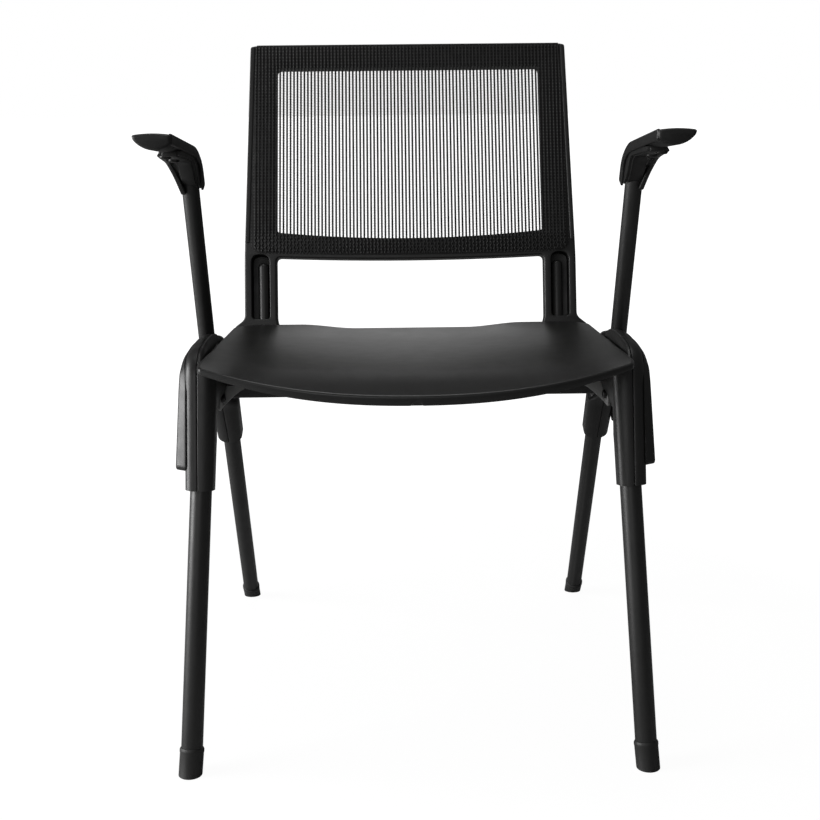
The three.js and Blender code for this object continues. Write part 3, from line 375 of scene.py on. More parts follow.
def lathe(profile, centre, axis, sides=48):
    """Turns (radius, height) points round an axis; a radius of nought closes an end."""
    shape, rings = Shape(), []
    along = Vector(axis).normalized()
    a = along.orthogonal().normalized()
    b = along.cross(a)
    for radius, height in profile:
        middle = Vector(centre) + along * height
        if radius < 1e-6:
            rings.append(shape.ring([middle] * sides))
        else:
            rings.append(shape.ring([middle + a * x + b * y for x, y in turned(sides, radius)]))
    shape.skin(rings)
    return shape


def outline(corners, steps=10):
    """A closed outline whose corners are rounded: each is (x, y, size), with nought where it is sharp."""
    places = [Vector(c[:2]) for c in corners]
    points = []
    for i, (_, _, size) in enumerate(corners):
        here, before, after = places[i], places[i - 1], places[(i + 1) % len(places)]
        if size:
            enter = here + (before - here).normalized() * size
            leave = here + (after - here).normalized() * size
            for k in range(steps + 1):
                t = k / steps
                points.append(enter.lerp(here, t).lerp(here.lerp(leave, t), t))
        else:
            points.append(here.copy())
    kept = []
    for p in points:
        if not kept or (p - kept[-1]).length > 1e-3:
            kept.append(p)
    if (kept[0] - kept[-1]).length < 1e-3:
        kept.pop()
    area = sum(a.x * b.y - b.x * a.y for a, b in zip(kept, kept[1:] + kept[:1]))
    return kept if area > 0 else kept[::-1]


def inset(loop, distance, weight=None):
    """Moves every edge of an anticlockwise outline inwards."""
    count, made = len(loop), []
    normals, ways = [], []
    for i in range(count):
        run = (loop[(i + 1) % count] - loop[i]).normalized()
        normals.append(Vector((-run.y, run.x)))
        ways.append(distance * (weight(loop[i], loop[(i + 1) % count]) if weight else 1))
    for i in range(count):
        m, n, u, v = normals[i - 1], normals[i], ways[i - 1], ways[i]
        det = m.x * n.y - m.y * n.x
        if abs(det) < 0.02:
            made.append(loop[i] + (m * u + n * v) / 2)
        else:
            made.append(loop[i] + Vector(((u * n.y - v * m.y) / det, (v * m.x - u * n.x) / det)))
    return made


def slab(loops, levels, at, weight=None):
    """A plate between outlines: each level is (depth, inset), and at turns (x, y, depth) into a place.

    The first outline is the outside, and the others are openings."""
    shape, first, last = Shape(), [], []
    for k, loop in enumerate(loops):
        sign = -1 if k else 1
        rings = [
            shape.ring([at(p.x, p.y, depth) for p in inset(loop, sign * width, weight)])
            for depth, width in levels
        ]
        shape.skin(rings)
        first.append(rings[0])
        last.append(rings[-1])
    shape.fill(*first)
    shape.fill(*last)
    return shape


def rounding(start, end, size, steps=ROUND_STEPS, squash=1.0):
    """Levels for a rounded edge that closes in by size as the depth goes from start to end."""
    reach = end - start
    turns = quarter(steps)[1:]
    return [(start + reach * math.sin(t), size * (1 - math.cos(t)) * squash) for t in turns]


def plate_levels(near, far, near_size, far_size, steps=ROUND_STEPS):
    """Levels of a plate whose two edges are rounded by their own sizes."""
    opening = rounding(near + near_size, near, near_size, steps)[::-1]
    closing = rounding(far - far_size, far, far_size, steps)
    return opening + [(near + near_size, 0), (far - far_size, 0)] + closing


def upright(y, z, x):
    """A section drawn as (y, z), carried across the chair."""
    return Vector((x, y, z))


# The side frame: leaned in by LEAN and turned in by TURN about the front foot

FRONT_FOOT_X, WHEELBASE, REAR_INSET = 264, 521.035, 15
LEAN, TURN = 0.0425, math.asin(REAR_INSET / WHEELBASE)
FRONT_RAKE, REAR_RAKE = 0.254, 0.657
REAR_FOOT_Y = WHEELBASE / math.cos(TURN)
FRONT_ANGLE, REAR_ANGLE = math.atan(FRONT_RAKE), math.atan(REAR_RAKE)
ARCH, CREST, SHOULDER, CREST_Y = 385, 479, 472, 194.99
TAIL_Y, TAIL_BOTTOM, TAIL_TOP = 321.99, 406, 451
SEAM_OFFSET = 1.5
FRONT_SLEEVE, REAR_SLEEVE = 316, 320
FRONT_HALF, REAR_HALF, HUB_HALF, HUB_ROUND = 16.5, 15.5, 15.2, 12.5
SIDE_TURN = Matrix.Rotation(TURN, 4, "Z") @ Matrix.Rotation(-LEAN, 4, "Y")


def side_place(x, y, z):
    return SIDE_TURN @ Vector((x, y, z)) + Vector((FRONT_FOOT_X, 0, 0))


def side_section(y, z, x):
    return side_place(x, y, z)


def front_axis(z):
    return FRONT_RAKE * z


def rear_axis(z):
    return REAR_FOOT_Y - REAR_RAKE * z


def beside_front(z, half, side):
    return (front_axis(z) + side * half * math.cos(FRONT_ANGLE), z - side * half * math.sin(FRONT_ANGLE))


def beside_rear(z, half, side):
    return (rear_axis(z) + side * half * math.cos(REAR_ANGLE), z + side * half * math.sin(REAR_ANGLE))


def front_edge(z, half, side):
    return (front_axis(z) + side * half / math.cos(FRONT_ANGLE), z)


def rear_edge(z, half, side):
    return (rear_axis(z) + side * half / math.cos(REAR_ANGLE), z)


def hub_corners(in_by=0.0, raised=0.0, corner=0.0, lowered=0.0, shoulder_round=30):
    front, rear, arch = FRONT_HALF - in_by, REAR_HALF - in_by, ARCH + in_by
    front_end, rear_end = FRONT_SLEEVE + raised, REAR_SLEEVE + raised
    return [
        (*beside_front(front_end, front, -1), corner),
        (*beside_front(front_end, front, 1), corner),
        (*front_edge(arch, front, 1), 28),
        (*rear_edge(arch, rear, -1), 28),
        (*beside_rear(rear_end, rear, -1), corner),
        (*beside_rear(rear_end, rear, 1), corner),
        (*rear_edge(TAIL_BOTTOM + in_by, rear, 1), corner or 14),
        (TAIL_Y - in_by, TAIL_BOTTOM + in_by, corner or 14),
        (TAIL_Y - in_by, TAIL_TOP - in_by - lowered, 12),
        (CREST_Y, CREST - in_by - lowered, 45),
        (*front_edge(SHOULDER - in_by - lowered, front, -1), shoulder_round),
    ]


def sleeve_weight(p, q):
    """How far a hub's rounding reaches in at the square ends of its sleeves, as a share."""
    middle = (p + q) / 2
    if (p - q).length < 8:
        return 1
    along_front = middle.y * math.cos(FRONT_ANGLE) + middle.x * math.sin(FRONT_ANGLE)
    if abs(along_front - FRONT_SLEEVE / math.cos(FRONT_ANGLE)) < 0.5 and middle.x < 200:
        return 0.14
    along_rear = middle.y * math.cos(REAR_ANGLE) - (middle.x - REAR_FOOT_Y) * math.sin(REAR_ANGLE)
    if abs(along_rear - REAR_SLEEVE / math.cos(REAR_ANGLE)) < 0.5 and middle.x > 200:
        return 0.3
    return 1


# Seat: the same surface as the solid's, on a finer grid

SEAT_HALF, SEAT_FRONT, SEAT_REAR, NOSE_REACH = 238.5, 16.99, 388.99, 37
SEAT_HIGH, SEAT_LOW, DISH, WATERFALL, FALL_LENGTH = 476, 452, 13, 16, 90
REAR_DISH, REAR_HOLLOW, REAR_LEVEL, REAR_RUN = 6, 75, 150, 100
SWING_GAP = 3


def seat_side(y):
    return SEAT_HIGH + (y - SEAT_FRONT) / (SEAT_REAR - SEAT_FRONT) * (SEAT_LOW - SEAT_HIGH)


def bite(run, size):
    return 1 - math.sqrt(1 - (1 - min(1, max(0, run / size))) ** 2)


def seat_edge(y):
    return SEAT_HALF - 6 * bite(y - SEAT_FRONT, 26) - 34 * bite(SEAT_REAR - y, 34)


def seat_nose(x):
    return SEAT_FRONT - NOSE_REACH * (1 - min(1, abs(x / SEAT_HALF)) ** 2.5)


def seat_top(x, y):
    across = 1 - min(1, abs(x / SEAT_HALF)) ** 2.2
    fall = min(1, max(0, 1 - (y - seat_nose(x)) / FALL_LENGTH))
    dish = across * (DISH + WATERFALL * fall**2)
    level = smooth((abs(x) - REAR_HOLLOW) / (REAR_LEVEL - REAR_HOLLOW))
    flat = min(1, max(0, 1 - (SEAT_REAR - y) / REAR_RUN)) ** 2
    return seat_side(y) - dish - flat * (REAR_DISH * (1 - level) - dish)


# Legs, caps and hubs

def front_point(z):
    return side_place(0, front_axis(z), z)


def rear_point(z):
    return side_place(0, rear_axis(z), z)


FRONT_TUBE, REAR_TUBE = 12.5, 11
FRONT_TUBE_ENDS, REAR_TUBE_ENDS = (8, 425), (12, 384)
leg_front = tube([front_point(z) for z in FRONT_TUBE_ENDS], FRONT_TUBE, 64)
leg_rear = tube([rear_point(z) for z in REAR_TUBE_ENDS], REAR_TUBE, 64)
both("leg_front", leg_front, TUBE, "frame", ["front_leg"])
both("leg_rear", leg_rear, TUBE, "frame", ["rear_leg"])

CAP_WALL, CAP_TOE, CAP_DEPTH, CAP_HEIGHT = 1.3, 5, 14, 30


def foot_cap(point, radius):
    """A cup over the leg's end, with a bead at its mouth, flat where it stands on the floor."""
    outer = radius + CAP_WALL
    toe, heel = outer - CAP_TOE, CAP_TOE - CAP_DEPTH
    profile = [(0, -CAP_DEPTH), (toe, -CAP_DEPTH)]
    for t in (0.3, 0.6, 0.9, 1.2, 1.5):
        profile.append((toe + CAP_TOE * math.sin(t), heel - CAP_TOE * math.cos(t)))
    profile += [(outer, 24), (outer + 0.35, 25.5), (outer + 0.35, 28.2), (outer - 0.4, 29.6)]
    profile.append((radius + 0.2, CAP_HEIGHT))
    profile += [(radius + 0.05, 29), (radius + 0.05, 18), (0, 18)]
    axis = (point(100) - point(0)).normalized()
    cup = lathe(profile, point(0), axis, 56)
    return cup.moved(lambda p: Vector((p.x, p.y, max(0.0, p.z))))


both("cap_front", foot_cap(front_point, FRONT_TUBE), RUBBER, "frame", ["front_foot_cap"])
both("cap_rear", foot_cap(rear_point, REAR_TUBE), RUBBER, "frame", ["rear_foot_cap"])


BRIDGE_RECESS = 0.62


def drift(z):
    """How far the seam and the outer side stand out from the leaning legs at a height."""
    return SEAM_OFFSET + LEAN * (z - FRONT_SLEEVE)


def hub_outer(y, z, x):
    """The outer half; its tail is rounded over towards the seat."""
    over = max(0, 1 - x / 9) ** 2 * smooth((y - 250) / 30) * smooth((z - 425) / 20)
    return side_place(x + drift(z), y, z - 8 * over)


def hub_inner(y, z, x):
    """The inner half, thinner between its sleeves and drawn in beside the seat, clear of its swing."""
    share = 1 - x / HUB_HALF
    end = min(y, rear_edge(min(z, TAIL_BOTTOM), REAR_HALF, 1)[0] + 0.3)
    past = smooth((end - front_axis(z) - 2) / 22) * smooth((z - ARCH + 14) / 12)
    before = smooth((rear_axis(z) + 4 - end) / 14)
    p = side_place(drift(z) * share - x * (1 - BRIDGE_RECESS * past * before), end, z)
    low = seat_side(p.y) - 7 - SWING_GAP
    limit = SEAT_HALF + SWING_GAP
    if p.z > low:
        seam = side_place(drift(z), end, z).x
        over = (1 - share) * smooth((end - 215) / 55)
        return Vector((limit + (seam - limit) * share, p.y, max(low, p.z - 6 * over)))
    return p


def hub_shell(place):
    levels = [(0.2, 1.0), (0.35, 0.5), (0.8, 0.12), (1.4, 0), (HUB_HALF - HUB_ROUND, 0)]
    levels += rounding(HUB_HALF - HUB_ROUND, HUB_HALF, HUB_ROUND, 9, 0.8)
    return slab([outline(hub_corners(), 14)], levels, place, sleeve_weight)


both("hub_shell_outer", hub_shell(hub_outer), MOULDING, "frame", ["hub_outer_shell"])
both("hub_shell_inner", hub_shell(hub_inner), MOULDING, "frame", ["hub_inner_shell"])

COVER_INNER, COVER_OUTER = 16.3, 29.3
COVER_ROUND, COVER_SLANT, COVER_LAP = 12, 7.2, 3.4
COVER_EDGE = 2.8
cover_levels = [(16.5, 0.8), (17.2, 0.15), (17.9, 0), (20, 0), (22, 0), (23.5, 0), (25, 0)]
cover_levels += rounding(COVER_OUTER - COVER_EDGE, COVER_OUTER, COVER_EDGE, 5)


def cover_place(y, z, x):
    """The outer cover, its front and top edges turned over towards the outside."""
    share = (COVER_OUTER - x) / (COVER_OUTER - COVER_INNER)
    back = COVER_SLANT * max(0, 1 - (COVER_OUTER - x) / COVER_ROUND)
    at_front = 1 - smooth((y - front_axis(z) + 15) / 16)
    at_top = smooth((z - 430) / 30)
    lap = COVER_LAP * share * at_front
    return side_place(x + drift(z) * share - lap, y + back * at_front, z - back * at_top * (1 - at_front))


cover = slab([outline(hub_corners(2.5, 22, 6, 5.5, 42), 14)], cover_levels, cover_place)
both("cover_side", cover, MOULDING, "frame", ["side_cover"])

# Cross beam, gussets and bolts

BEAM_Y, BEAM_TOP, BEAM_BOTTOM, BEAM_FRONT, BEAM_REAR = 199.99, 417, 399, 185, 215
GUSSET_X, GUSSET_PLATE, GUSSET_BOTTOM, GUSSET_WEB, GUSSET_LIP = -9.5, 3, 389, 26, 3.5
BOLT_Y, BOLT_Z = 173, 403
GAP = 0.3


def beam():
    low = [(BEAM_FRONT, BEAM_BOTTOM, 3), (BEAM_REAR, BEAM_BOTTOM, 3)]
    section = outline(low + [(BEAM_REAR, BEAM_TOP, 3), (BEAM_FRONT, BEAM_TOP, 3)], 6)
    reach = side_place(GUSSET_X, BEAM_REAR, BEAM_TOP).x - GAP
    levels = [(-reach, 0.5), (-reach + 0.5, 0), (reach - 0.5, 0), (reach, 0.5)]
    return slab([section], levels, upright)


make("beam_front", beam(), TUBE, "frame", ["front_beam"])


def gusset():
    """An end plate beside the hub and a curved web just ahead of the beam."""
    outer, tip, lip = GUSSET_X + GUSSET_PLATE, GUSSET_X - GUSSET_WEB, BEAM_TOP - GUSSET_LIP
    corners = [(164, GUSSET_BOTTOM, 5), (218, GUSSET_BOTTOM, 5), (218, BEAM_TOP, 2), (164, BEAM_TOP, 8)]
    body = slab([outline(corners, 6)], plate_levels(GUSSET_X, outer, 0.6, 0.6, 3), side_section)
    curve = [(outer, BEAM_TOP), (tip, BEAM_TOP), (tip, lip)]
    curve += [(tip + 27 * t, lip - 25 * t**1.25) for t in (0.15, 0.3, 0.45, 0.6, 0.75, 0.9)]
    curve.append((outer, GUSSET_BOTTOM))
    web = outline([(x, z, 0) for x, z in curve])
    web_levels = plate_levels(BEAM_FRONT - GAP - GUSSET_PLATE, BEAM_FRONT - GAP, 0.6, 0.6, 3)
    body.add(slab([web], web_levels, lambda x, z, y: side_place(x, y, z)))
    return body


both("gusset", gusset(), GREY_STEEL, "frame", ["beam_gusset"])


def pan_head(radius, height, length, shank=3.0):
    """A pan-head screw: its head's underside at nought, its head below and its shank above."""
    profile = [(0, -height * 0.45), (radius * 0.42, -height * 0.45), (radius * 0.46, -height)]
    profile += [(radius * 0.72, -height), (radius * 0.88, -height * 0.86), (radius * 0.97, -height * 0.6)]
    profile += [(radius, -height * 0.3), (radius, 0), (shank, 0), (shank, length), (0, length)]
    return profile


bolt_place = side_place(GUSSET_X - GAP, BOLT_Y, BOLT_Z)
bolt_axis = (side_place(0, BOLT_Y, BOLT_Z) - bolt_place).normalized()
bolt = lathe(pan_head(5.5, 4, 10), bolt_place, bolt_axis, 32)
both("bolt_gusset", bolt, SCREW, "frame", ["gusset_bolt"])

# Back bars, stretcher and the back's own plane

RECLINE, BACK_Y, BACK_Z = 0.267, 400.99, 450
UPRIGHT_X, BAR_DEPTH, BAR_TOP_RISE = 206, 10.5, 85


def in_back(x, rise, depth):
    y = BACK_Y + depth * math.cos(RECLINE) + rise * math.sin(RECLINE)
    return Vector((x, y, BACK_Z - depth * math.sin(RECLINE) + rise * math.cos(RECLINE)))


BAR_X_IN_SLOT, BAR_RADIUS, BAR_BEND, BAR_TURN_RISE = 202.6, 7.4, 17, -22
BAR_START = (249, 286, 440.5)
bar_foot = in_back(BAR_X_IN_SLOT, BAR_TURN_RISE, BAR_DEPTH)
bar_corner = (BAR_START[0], bar_foot.y, bar_foot.z)
bar_end = in_back(BAR_X_IN_SLOT, BAR_TOP_RISE, BAR_DEPTH)
bar_route = rounded_path([BAR_START, bar_corner, bar_foot, bar_end], BAR_BEND)
both("bar_back", tube(bar_route, BAR_RADIUS, 40, (0.8, 5.5)), TUBE, "frame", ["back_bar"])
STRETCHER_RADIUS, STRETCHER_SEAT = 8, 0.6
stretcher_end = BAR_X_IN_SLOT - BAR_RADIUS + STRETCHER_SEAT
stretcher_ends = [(x, bar_foot.y, bar_foot.z) for x in (-stretcher_end, stretcher_end)]
stretcher = tube(stretcher_ends, STRETCHER_RADIUS, 40)
make("stretcher_rear", stretcher, TUBE, "frame", ["rear_stretcher"])

# Back frame

BOTTOM_HALF, TOP_HALF, BACK_TOP, RAIL_BOTTOM, BACK_THICK = 228, 216.5, 384, 92, 22
WINDOW_BOTTOM, WINDOW_TOP, WINDOW_LOW_HALF, WINDOW_HIGH_HALF = 126, 353, 183.5, 180.5
INNER_X, UPRIGHT_FOOT = 184, -8
SLOT_HALF, SLOT_LOW, SLOT_HIGH = 12.5, 7, 96


def half_at(rise):
    return BOTTOM_HALF + (rise - RAIL_BOTTOM) / (BACK_TOP - RAIL_BOTTOM) * (TOP_HALF - BOTTOM_HALF)


def window_half(rise):
    share = (rise - WINDOW_BOTTOM) / (WINDOW_TOP - WINDOW_BOTTOM)
    return WINDOW_LOW_HALF + share * (WINDOW_HIGH_HALF - WINDOW_LOW_HALF)


def window_loop():
    corners = [(-WINDOW_LOW_HALF, WINDOW_BOTTOM, 6)]
    corners += [(0, WINDOW_BOTTOM - 18, WINDOW_LOW_HALF - 12), (WINDOW_LOW_HALF, WINDOW_BOTTOM, 6)]
    corners += [(WINDOW_HIGH_HALF, WINDOW_TOP, 6), (-WINDOW_HIGH_HALF, WINDOW_TOP, 6)]
    return outline(corners, 12)


def back_frame():
    """The moulded frame, with a deep slot up the front of each upright for its bar."""
    side = [(228.5, 7, 6), (241.5, -3, 1), (241.5, UPRIGHT_FOOT, 1)]
    right = [(INNER_X, RAIL_BOTTOM, 7), (INNER_X, 5, 6), (INNER_X - 3, -3, 1)]
    right.append((INNER_X - 3, UPRIGHT_FOOT, 1))
    corners = side[::-1] + [(BOTTOM_HALF, RAIL_BOTTOM, 16), (TOP_HALF, BACK_TOP, 8)]
    corners += [(-TOP_HALF, BACK_TOP, 8), (-BOTTOM_HALF, RAIL_BOTTOM, 16)]
    corners += [(-x, r, s) for x, r, s in side]
    corners += [(-x, r, s) for x, r, s in reversed(right)]
    corners += [(0, RAIL_BOTTOM - 8, INNER_X - 10)]
    corners += right
    outer = outline(corners, 12)
    shape = Shape()
    slots = []
    for middle in (-UPRIGHT_X, UPRIGHT_X):
        low, high = middle - SLOT_HALF, middle + SLOT_HALF
        feet = [(low, SLOT_LOW, 6), (high, SLOT_LOW, 6)]
        slots.append(outline(feet + [(high, SLOT_HIGH, 11.5), (low, SLOT_HIGH, 11.5)]))
    front, rear = [], []
    levels = plate_levels(0, BACK_THICK, 2.6, 3.0)
    for loop, sign in ((outer, 1), (window_loop(), -1)):
        rings = [shape.ring([in_back(p.x, p.y, d) for p in inset(loop, sign * w)]) for d, w in levels]
        shape.skin(rings)
        front.append(rings[0])
        rear.append(rings[-1])
    slot_levels = [(d, -w) for d, w in rounding(1.2, 0, 1.2, 4)[::-1]]
    slot_levels += [(1.2, 0), (18.5, 0.4), (19.3, 0.8), (19.5, 1.6)]
    for loop in slots:
        rings = [shape.ring([in_back(p.x, p.y, d) for p in inset(loop, w)]) for d, w in slot_levels]
        shape.skin(rings)
        front.append(rings[0])
        shape.fill(rings[-1])
    shape.fill(*front)
    shape.fill(*rear)
    return shape


make("frame_back", back_frame(), FRAME, "frame", ["back_frame"])


STRIP_LOW, STRIP_HIGH, STRIP_OUTER, STRIP_INNER, STRIP_PROUD = 112, 382.6, 0.4, 6.6, 1.3


def edge_strip():
    """The plain edge of the frame, proud beside the fabric, with a groove between them."""
    low, high = half_at(STRIP_LOW), half_at(STRIP_HIGH)
    corners = [(low - STRIP_OUTER, STRIP_LOW, 3), (low - STRIP_INNER, STRIP_LOW, 3)]
    corners += [(high - STRIP_INNER, STRIP_HIGH, 1.5), (high - STRIP_OUTER, STRIP_HIGH, 4)]
    levels = [(1.5, 0), (0.1, 0)] + rounding(-0.1, -STRIP_PROUD, STRIP_PROUD, 4)
    return slab([outline(corners, 8)], levels, in_back)


both("strip_edge", edge_strip(), FRAME, "frame")

# Mesh fabric: a plain sheet on the frame, and knitted ribs over it and across the window

FABRIC_RIM, FABRIC_LOW, RAIL_BOW, WINDOW_BOW, FABRIC_CORNER = 8, 98, 4, 9, 18
RIBS_IN_WINDOW, RIB_HALF, RIB_STEP, LINK_STEP = 76, 1.2, 1.2, 3.6
RIBS_PAST_WINDOW, RIB_DEPTH, RIB_THICK, LINK_RISE, LINK_HALF = 8, -1.05, 0.5, 1.8, 0.14
SWAY, SWAY_PERIOD, MIDDLE_RISE, WRAP_HALF, WRAP_THICK = 1.15, 7.2, 240, 207.5, 0.7


def fabric_half(rise):
    return half_at(rise) - FABRIC_RIM


def fabric_low(x):
    half, corner = fabric_half(FABRIC_LOW), FABRIC_CORNER
    low = FABRIC_LOW - RAIL_BOW * (1 - (x / half) ** 2)
    past = abs(x) - (half - corner)
    if past > 0:
        low += corner - math.sqrt(max(0, corner**2 - min(past, corner) ** 2))
    return low


def fabric_loop():
    half, high_half, high = fabric_half(FABRIC_LOW), fabric_half(BACK_TOP), BACK_TOP - 0.3
    corners = [(-half, FABRIC_LOW, FABRIC_CORNER), (0, FABRIC_LOW - 2 * RAIL_BOW, half - 24)]
    corners += [(half, FABRIC_LOW, FABRIC_CORNER), (high_half, high, 4), (-high_half, high, 4)]
    return outline(corners, 10)


def window_low(x):
    return WINDOW_BOTTOM - WINDOW_BOW * (1 - min(1, abs(x / WINDOW_LOW_HALF)) ** 2)


def rib_x(share, rise):
    return share * window_half(rise)


def zigzag(rise, period):
    turn = (rise / period) % 1
    return 4 * abs(turn - 0.5) - 1


def add_wrap(shape):
    """The cloth folded over the frame's top edge to its back."""
    wrap = [(-0.9, 379), (-0.9, 381.5), (-0.6, 383.2), (0.3, 384.5), (2.2, 385), (8, 385.1), (15, 385.1)]
    wrap += [(19.3, 384.9), (21.6, 383.8), (22.6, 381.6), (22.7, 376)]
    rings = []
    for x in (-WRAP_HALF, WRAP_HALF):
        over = [in_back(x, r, d) for d, r in wrap]
        under = [in_back(x, r - WRAP_THICK, min(max(d, -0.3), 22.1)) for d, r in wrap[::-1]]
        rings.append(shape.ring(over + under))
    shape.capped(rings)


def add_rib(shape, k):
    """One upright rib: knotted where the links meet it, and swaying below the window."""
    share = 2 * k / RIBS_IN_WINDOW
    low = fabric_low(rib_x(share, FABRIC_LOW)) + 1.2
    high = BACK_TOP - 1.5
    count = round((high - low) / RIB_STEP)
    rings = []
    for i in range(count + 1):
        rise = low + (high - low) * i / count
        x = rib_x(share, rise)
        edge = fabric_half(rise) - RIB_HALF - 0.2
        if abs(x) > edge:
            x = math.copysign(edge, x)
        knot = (0.5 + 0.5 * math.cos(2 * math.pi * (rise / LINK_STEP + (k % 2) / 2))) ** 2
        below = window_low(x) - rise
        x += SWAY * min(1, max(0, below / 4)) * zigzag(rise, SWAY_PERIOD) * (1 if k % 2 else -1)
        end = min(1, (i + 0.4) / 2, (count - i + 0.4) / 2)
        half, thick = (RIB_HALF + 0.22 * knot) * end, (RIB_THICK + 0.1 * knot) * end
        section = [(-half, 0), (-0.5 * half, -thick), (0.5 * half, -thick), (half, 0), (0, thick)]
        rings.append(shape.ring([in_back(x + dx, rise, RIB_DEPTH + dd) for dx, dd in section]))
    shape.capped(rings)


def add_links(shape, k):
    """The fine threads between two ribs, sloping up in one gap and down in the next."""
    a, b = 2 * k / RIBS_IN_WINDOW, 2 * (k + 1) / RIBS_IN_WINDOW
    section = [(-LINK_HALF, 0), (0, -LINK_HALF), (LINK_HALF, 0), (0, LINK_HALF)]
    up = LINK_RISE if k % 2 else -LINK_RISE
    rise = window_low(rib_x(a, WINDOW_BOTTOM)) + 2 + (k % 2) * LINK_STEP / 2
    while rise < WINDOW_TOP:
        ends = (rib_x(a, rise), rise), (rib_x(b, rise + up), rise + up)
        shape.skin(
            [shape.ring([in_back(x, r + dr, RIB_DEPTH + dd) for dr, dd in section]) for x, r in ends]
        )
        rise += LINK_STEP


def mesh_fabric():
    shape = Shape()
    shape.add(slab([fabric_loop(), window_loop()], plate_levels(-0.95, -0.25, 0.3, 0.1, 2), in_back))
    add_wrap(shape)
    last = RIBS_IN_WINDOW // 2 + RIBS_PAST_WINDOW
    for k in range(-last, last + 1):
        if abs(rib_x(2 * k / RIBS_IN_WINDOW, MIDDLE_RISE)) <= fabric_half(MIDDLE_RISE) - RIB_HALF:
            add_rib(shape, k)
    for k in range(-RIBS_IN_WINDOW // 2, RIBS_IN_WINDOW // 2):
        add_links(shape, k)
    return shape


mesh_piece = make("fabric_mesh", mesh_fabric(), YARN, "frame", ["mesh_fabric"], sharp=75)

# Seat shell

SEAT_WALL, SEAT_LIP, SEAT_RIM, SEAT_EDGE_ROUND = 5, 11, 7, 2.4
SEAT_MIDDLE_Y, SEAT_REACH_Y = 185, 205
NOTCH_HALF, NOTCH_HEIGHT, NOTCH_FLOOR, NOTCH_WALL = 6.5, 4.5, 1.5, 2


def seat_plan(u, v, width):
    """A place on the seat in plan, with its edge drawn in by a width."""
    at_side = SEAT_FRONT + v * (SEAT_REAR - SEAT_FRONT)
    x = u * seat_edge(at_side)
    y = at_side + (seat_nose(x) - SEAT_FRONT) * (1 - v)
    return x * (1 - width / SEAT_HALF), SEAT_MIDDLE_Y + (y - SEAT_MIDDLE_Y) * (1 - width / SEAT_REACH_Y)


def add_stiffener(shape, places, way, depth):
    """A thin rib under the seat through places in plan; way is its side, square to its run."""
    rings = []
    for x, y in places:
        under = seat_top(x, y) - SEAT_WALL
        section = ((-1, 1), (1, 1), (0.8, -depth), (-0.8, -depth))
        ring = [(x + way[0] * side, y + way[1] * side, under + up) for side, up in section]
        rings.append(shape.ring(ring))
    shape.capped(rings)


def seat_shell():
    widest = math.pi / 2 * 0.9
    spread = [math.sin((2 * c / 84 - 1) * widest) / math.sin(widest) for c in range(85)]
    us = {round(u, 6) for u in spread if abs(u) * SEAT_HALF > NOTCH_HALF + 1}
    us = sorted(us | {round(k / SEAT_HALF, 6) for k in range(-7, 8)})
    vs = [(1 - math.cos(math.pi * r / 56)) / 2 for r in range(57)]
    shape = Shape()

    def grid(width, drop):
        rows = []
        for v in vs:
            row = []
            for u in us:
                x, y = seat_plan(u, v, width)
                row.append((x, y, seat_top(x, y) - drop))
            rows.append(shape.ring(row))
        for a, b in zip(rows, rows[1:]):
            shape.bridge(a, b, closed=False)
        return rows[0] + [r[-1] for r in rows[1:-1]] + rows[-1][::-1] + [r[0] for r in rows[-2:0:-1]]

    edge = [(u, 0) for u in us] + [(1, v) for v in vs[1:-1]]
    edge += [(u, 1) for u in us[::-1]] + [(-1, v) for v in vs[-2:0:-1]]

    def loop(width, drop, rim):
        """A ring round the edge; rim is how much of the rim's own depth is added to the drop.

        The lip's notch is cut into its outer wall, and the wall behind hangs a little lower there."""
        points = []
        for u, v in edge:
            x, y = seat_plan(u, v, width)
            front = max(0.0, 1 - v / 0.02)
            depth = SEAT_RIM + (SEAT_LIP - SEAT_RIM) * front * (1 - 0.9 * abs(u) ** 3)
            if v == 0 and abs(x) < NOTCH_HALF and width < NOTCH_WALL:
                depth -= NOTCH_HEIGHT * math.sqrt(1 - (x / NOTCH_HALF) ** 2)
            if v == 0 and abs(x) < NOTCH_HALF + 1 and width > NOTCH_WALL:
                depth += NOTCH_FLOOR
            points.append((x, y, seat_top(x, y) - drop - rim * depth))
        return shape.ring(points)

    rings = [grid(SEAT_EDGE_ROUND, 0)]
    for t in quarter(4)[1:]:
        rings.append(loop(SEAT_EDGE_ROUND * (1 - math.sin(t)), SEAT_EDGE_ROUND * (1 - math.cos(t)), 0))
    rings += [loop(0, -1.2, 1), loop(0.35, -0.35, 1), loop(1.2, 0, 1), loop(4.4, 0, 1), loop(5, -0.5, 1)]
    rings.append(grid(5.4, SEAT_WALL))
    shape.skin(rings)
    for x in (-200, -100, -50, 0, 50, 100, 200):
        add_stiffener(shape, [(x, 30 + 330 * i / 24) for i in range(25)], (1, 0), 4)
    for y in (60, 150, 240, 330):
        add_stiffener(shape, [(-130 + 260 * i / 26, y) for i in range(27)], (0, 1), 3.6)
    for x in (-BAR_X, BAR_X):
        for y in SEAT_SCREWS:
            boss = [(0, 0), (8.4, 0), (9, 0.6), (9.4, 6.5)]
            shape.add(lathe(boss, (x, y, bar_top(y) + GAP), (0, 0, 1), 28))
    return shape


BAR_X, BAR_HALF, BAR_THICK, BAR_DROP, SEAT_SCREWS = 150, 12.5, 5, 5, (91.99, 261.99)


def bar_top(y):
    front, rear = SEAT_SCREWS
    high = [seat_top(BAR_X, at) - SEAT_WALL - BAR_DROP for at in (front, rear)]
    return high[0] + (y - front) / (rear - front) * (high[1] - high[0])


def bar_under(y):
    return bar_top(y) - BAR_THICK - GAP


make("seat_moulded", seat_shell(), SEAT, "seat", ["seat_shell"], sharp=40)

# Seat bars, saddles, bushes, bumpers, screws and the pivot

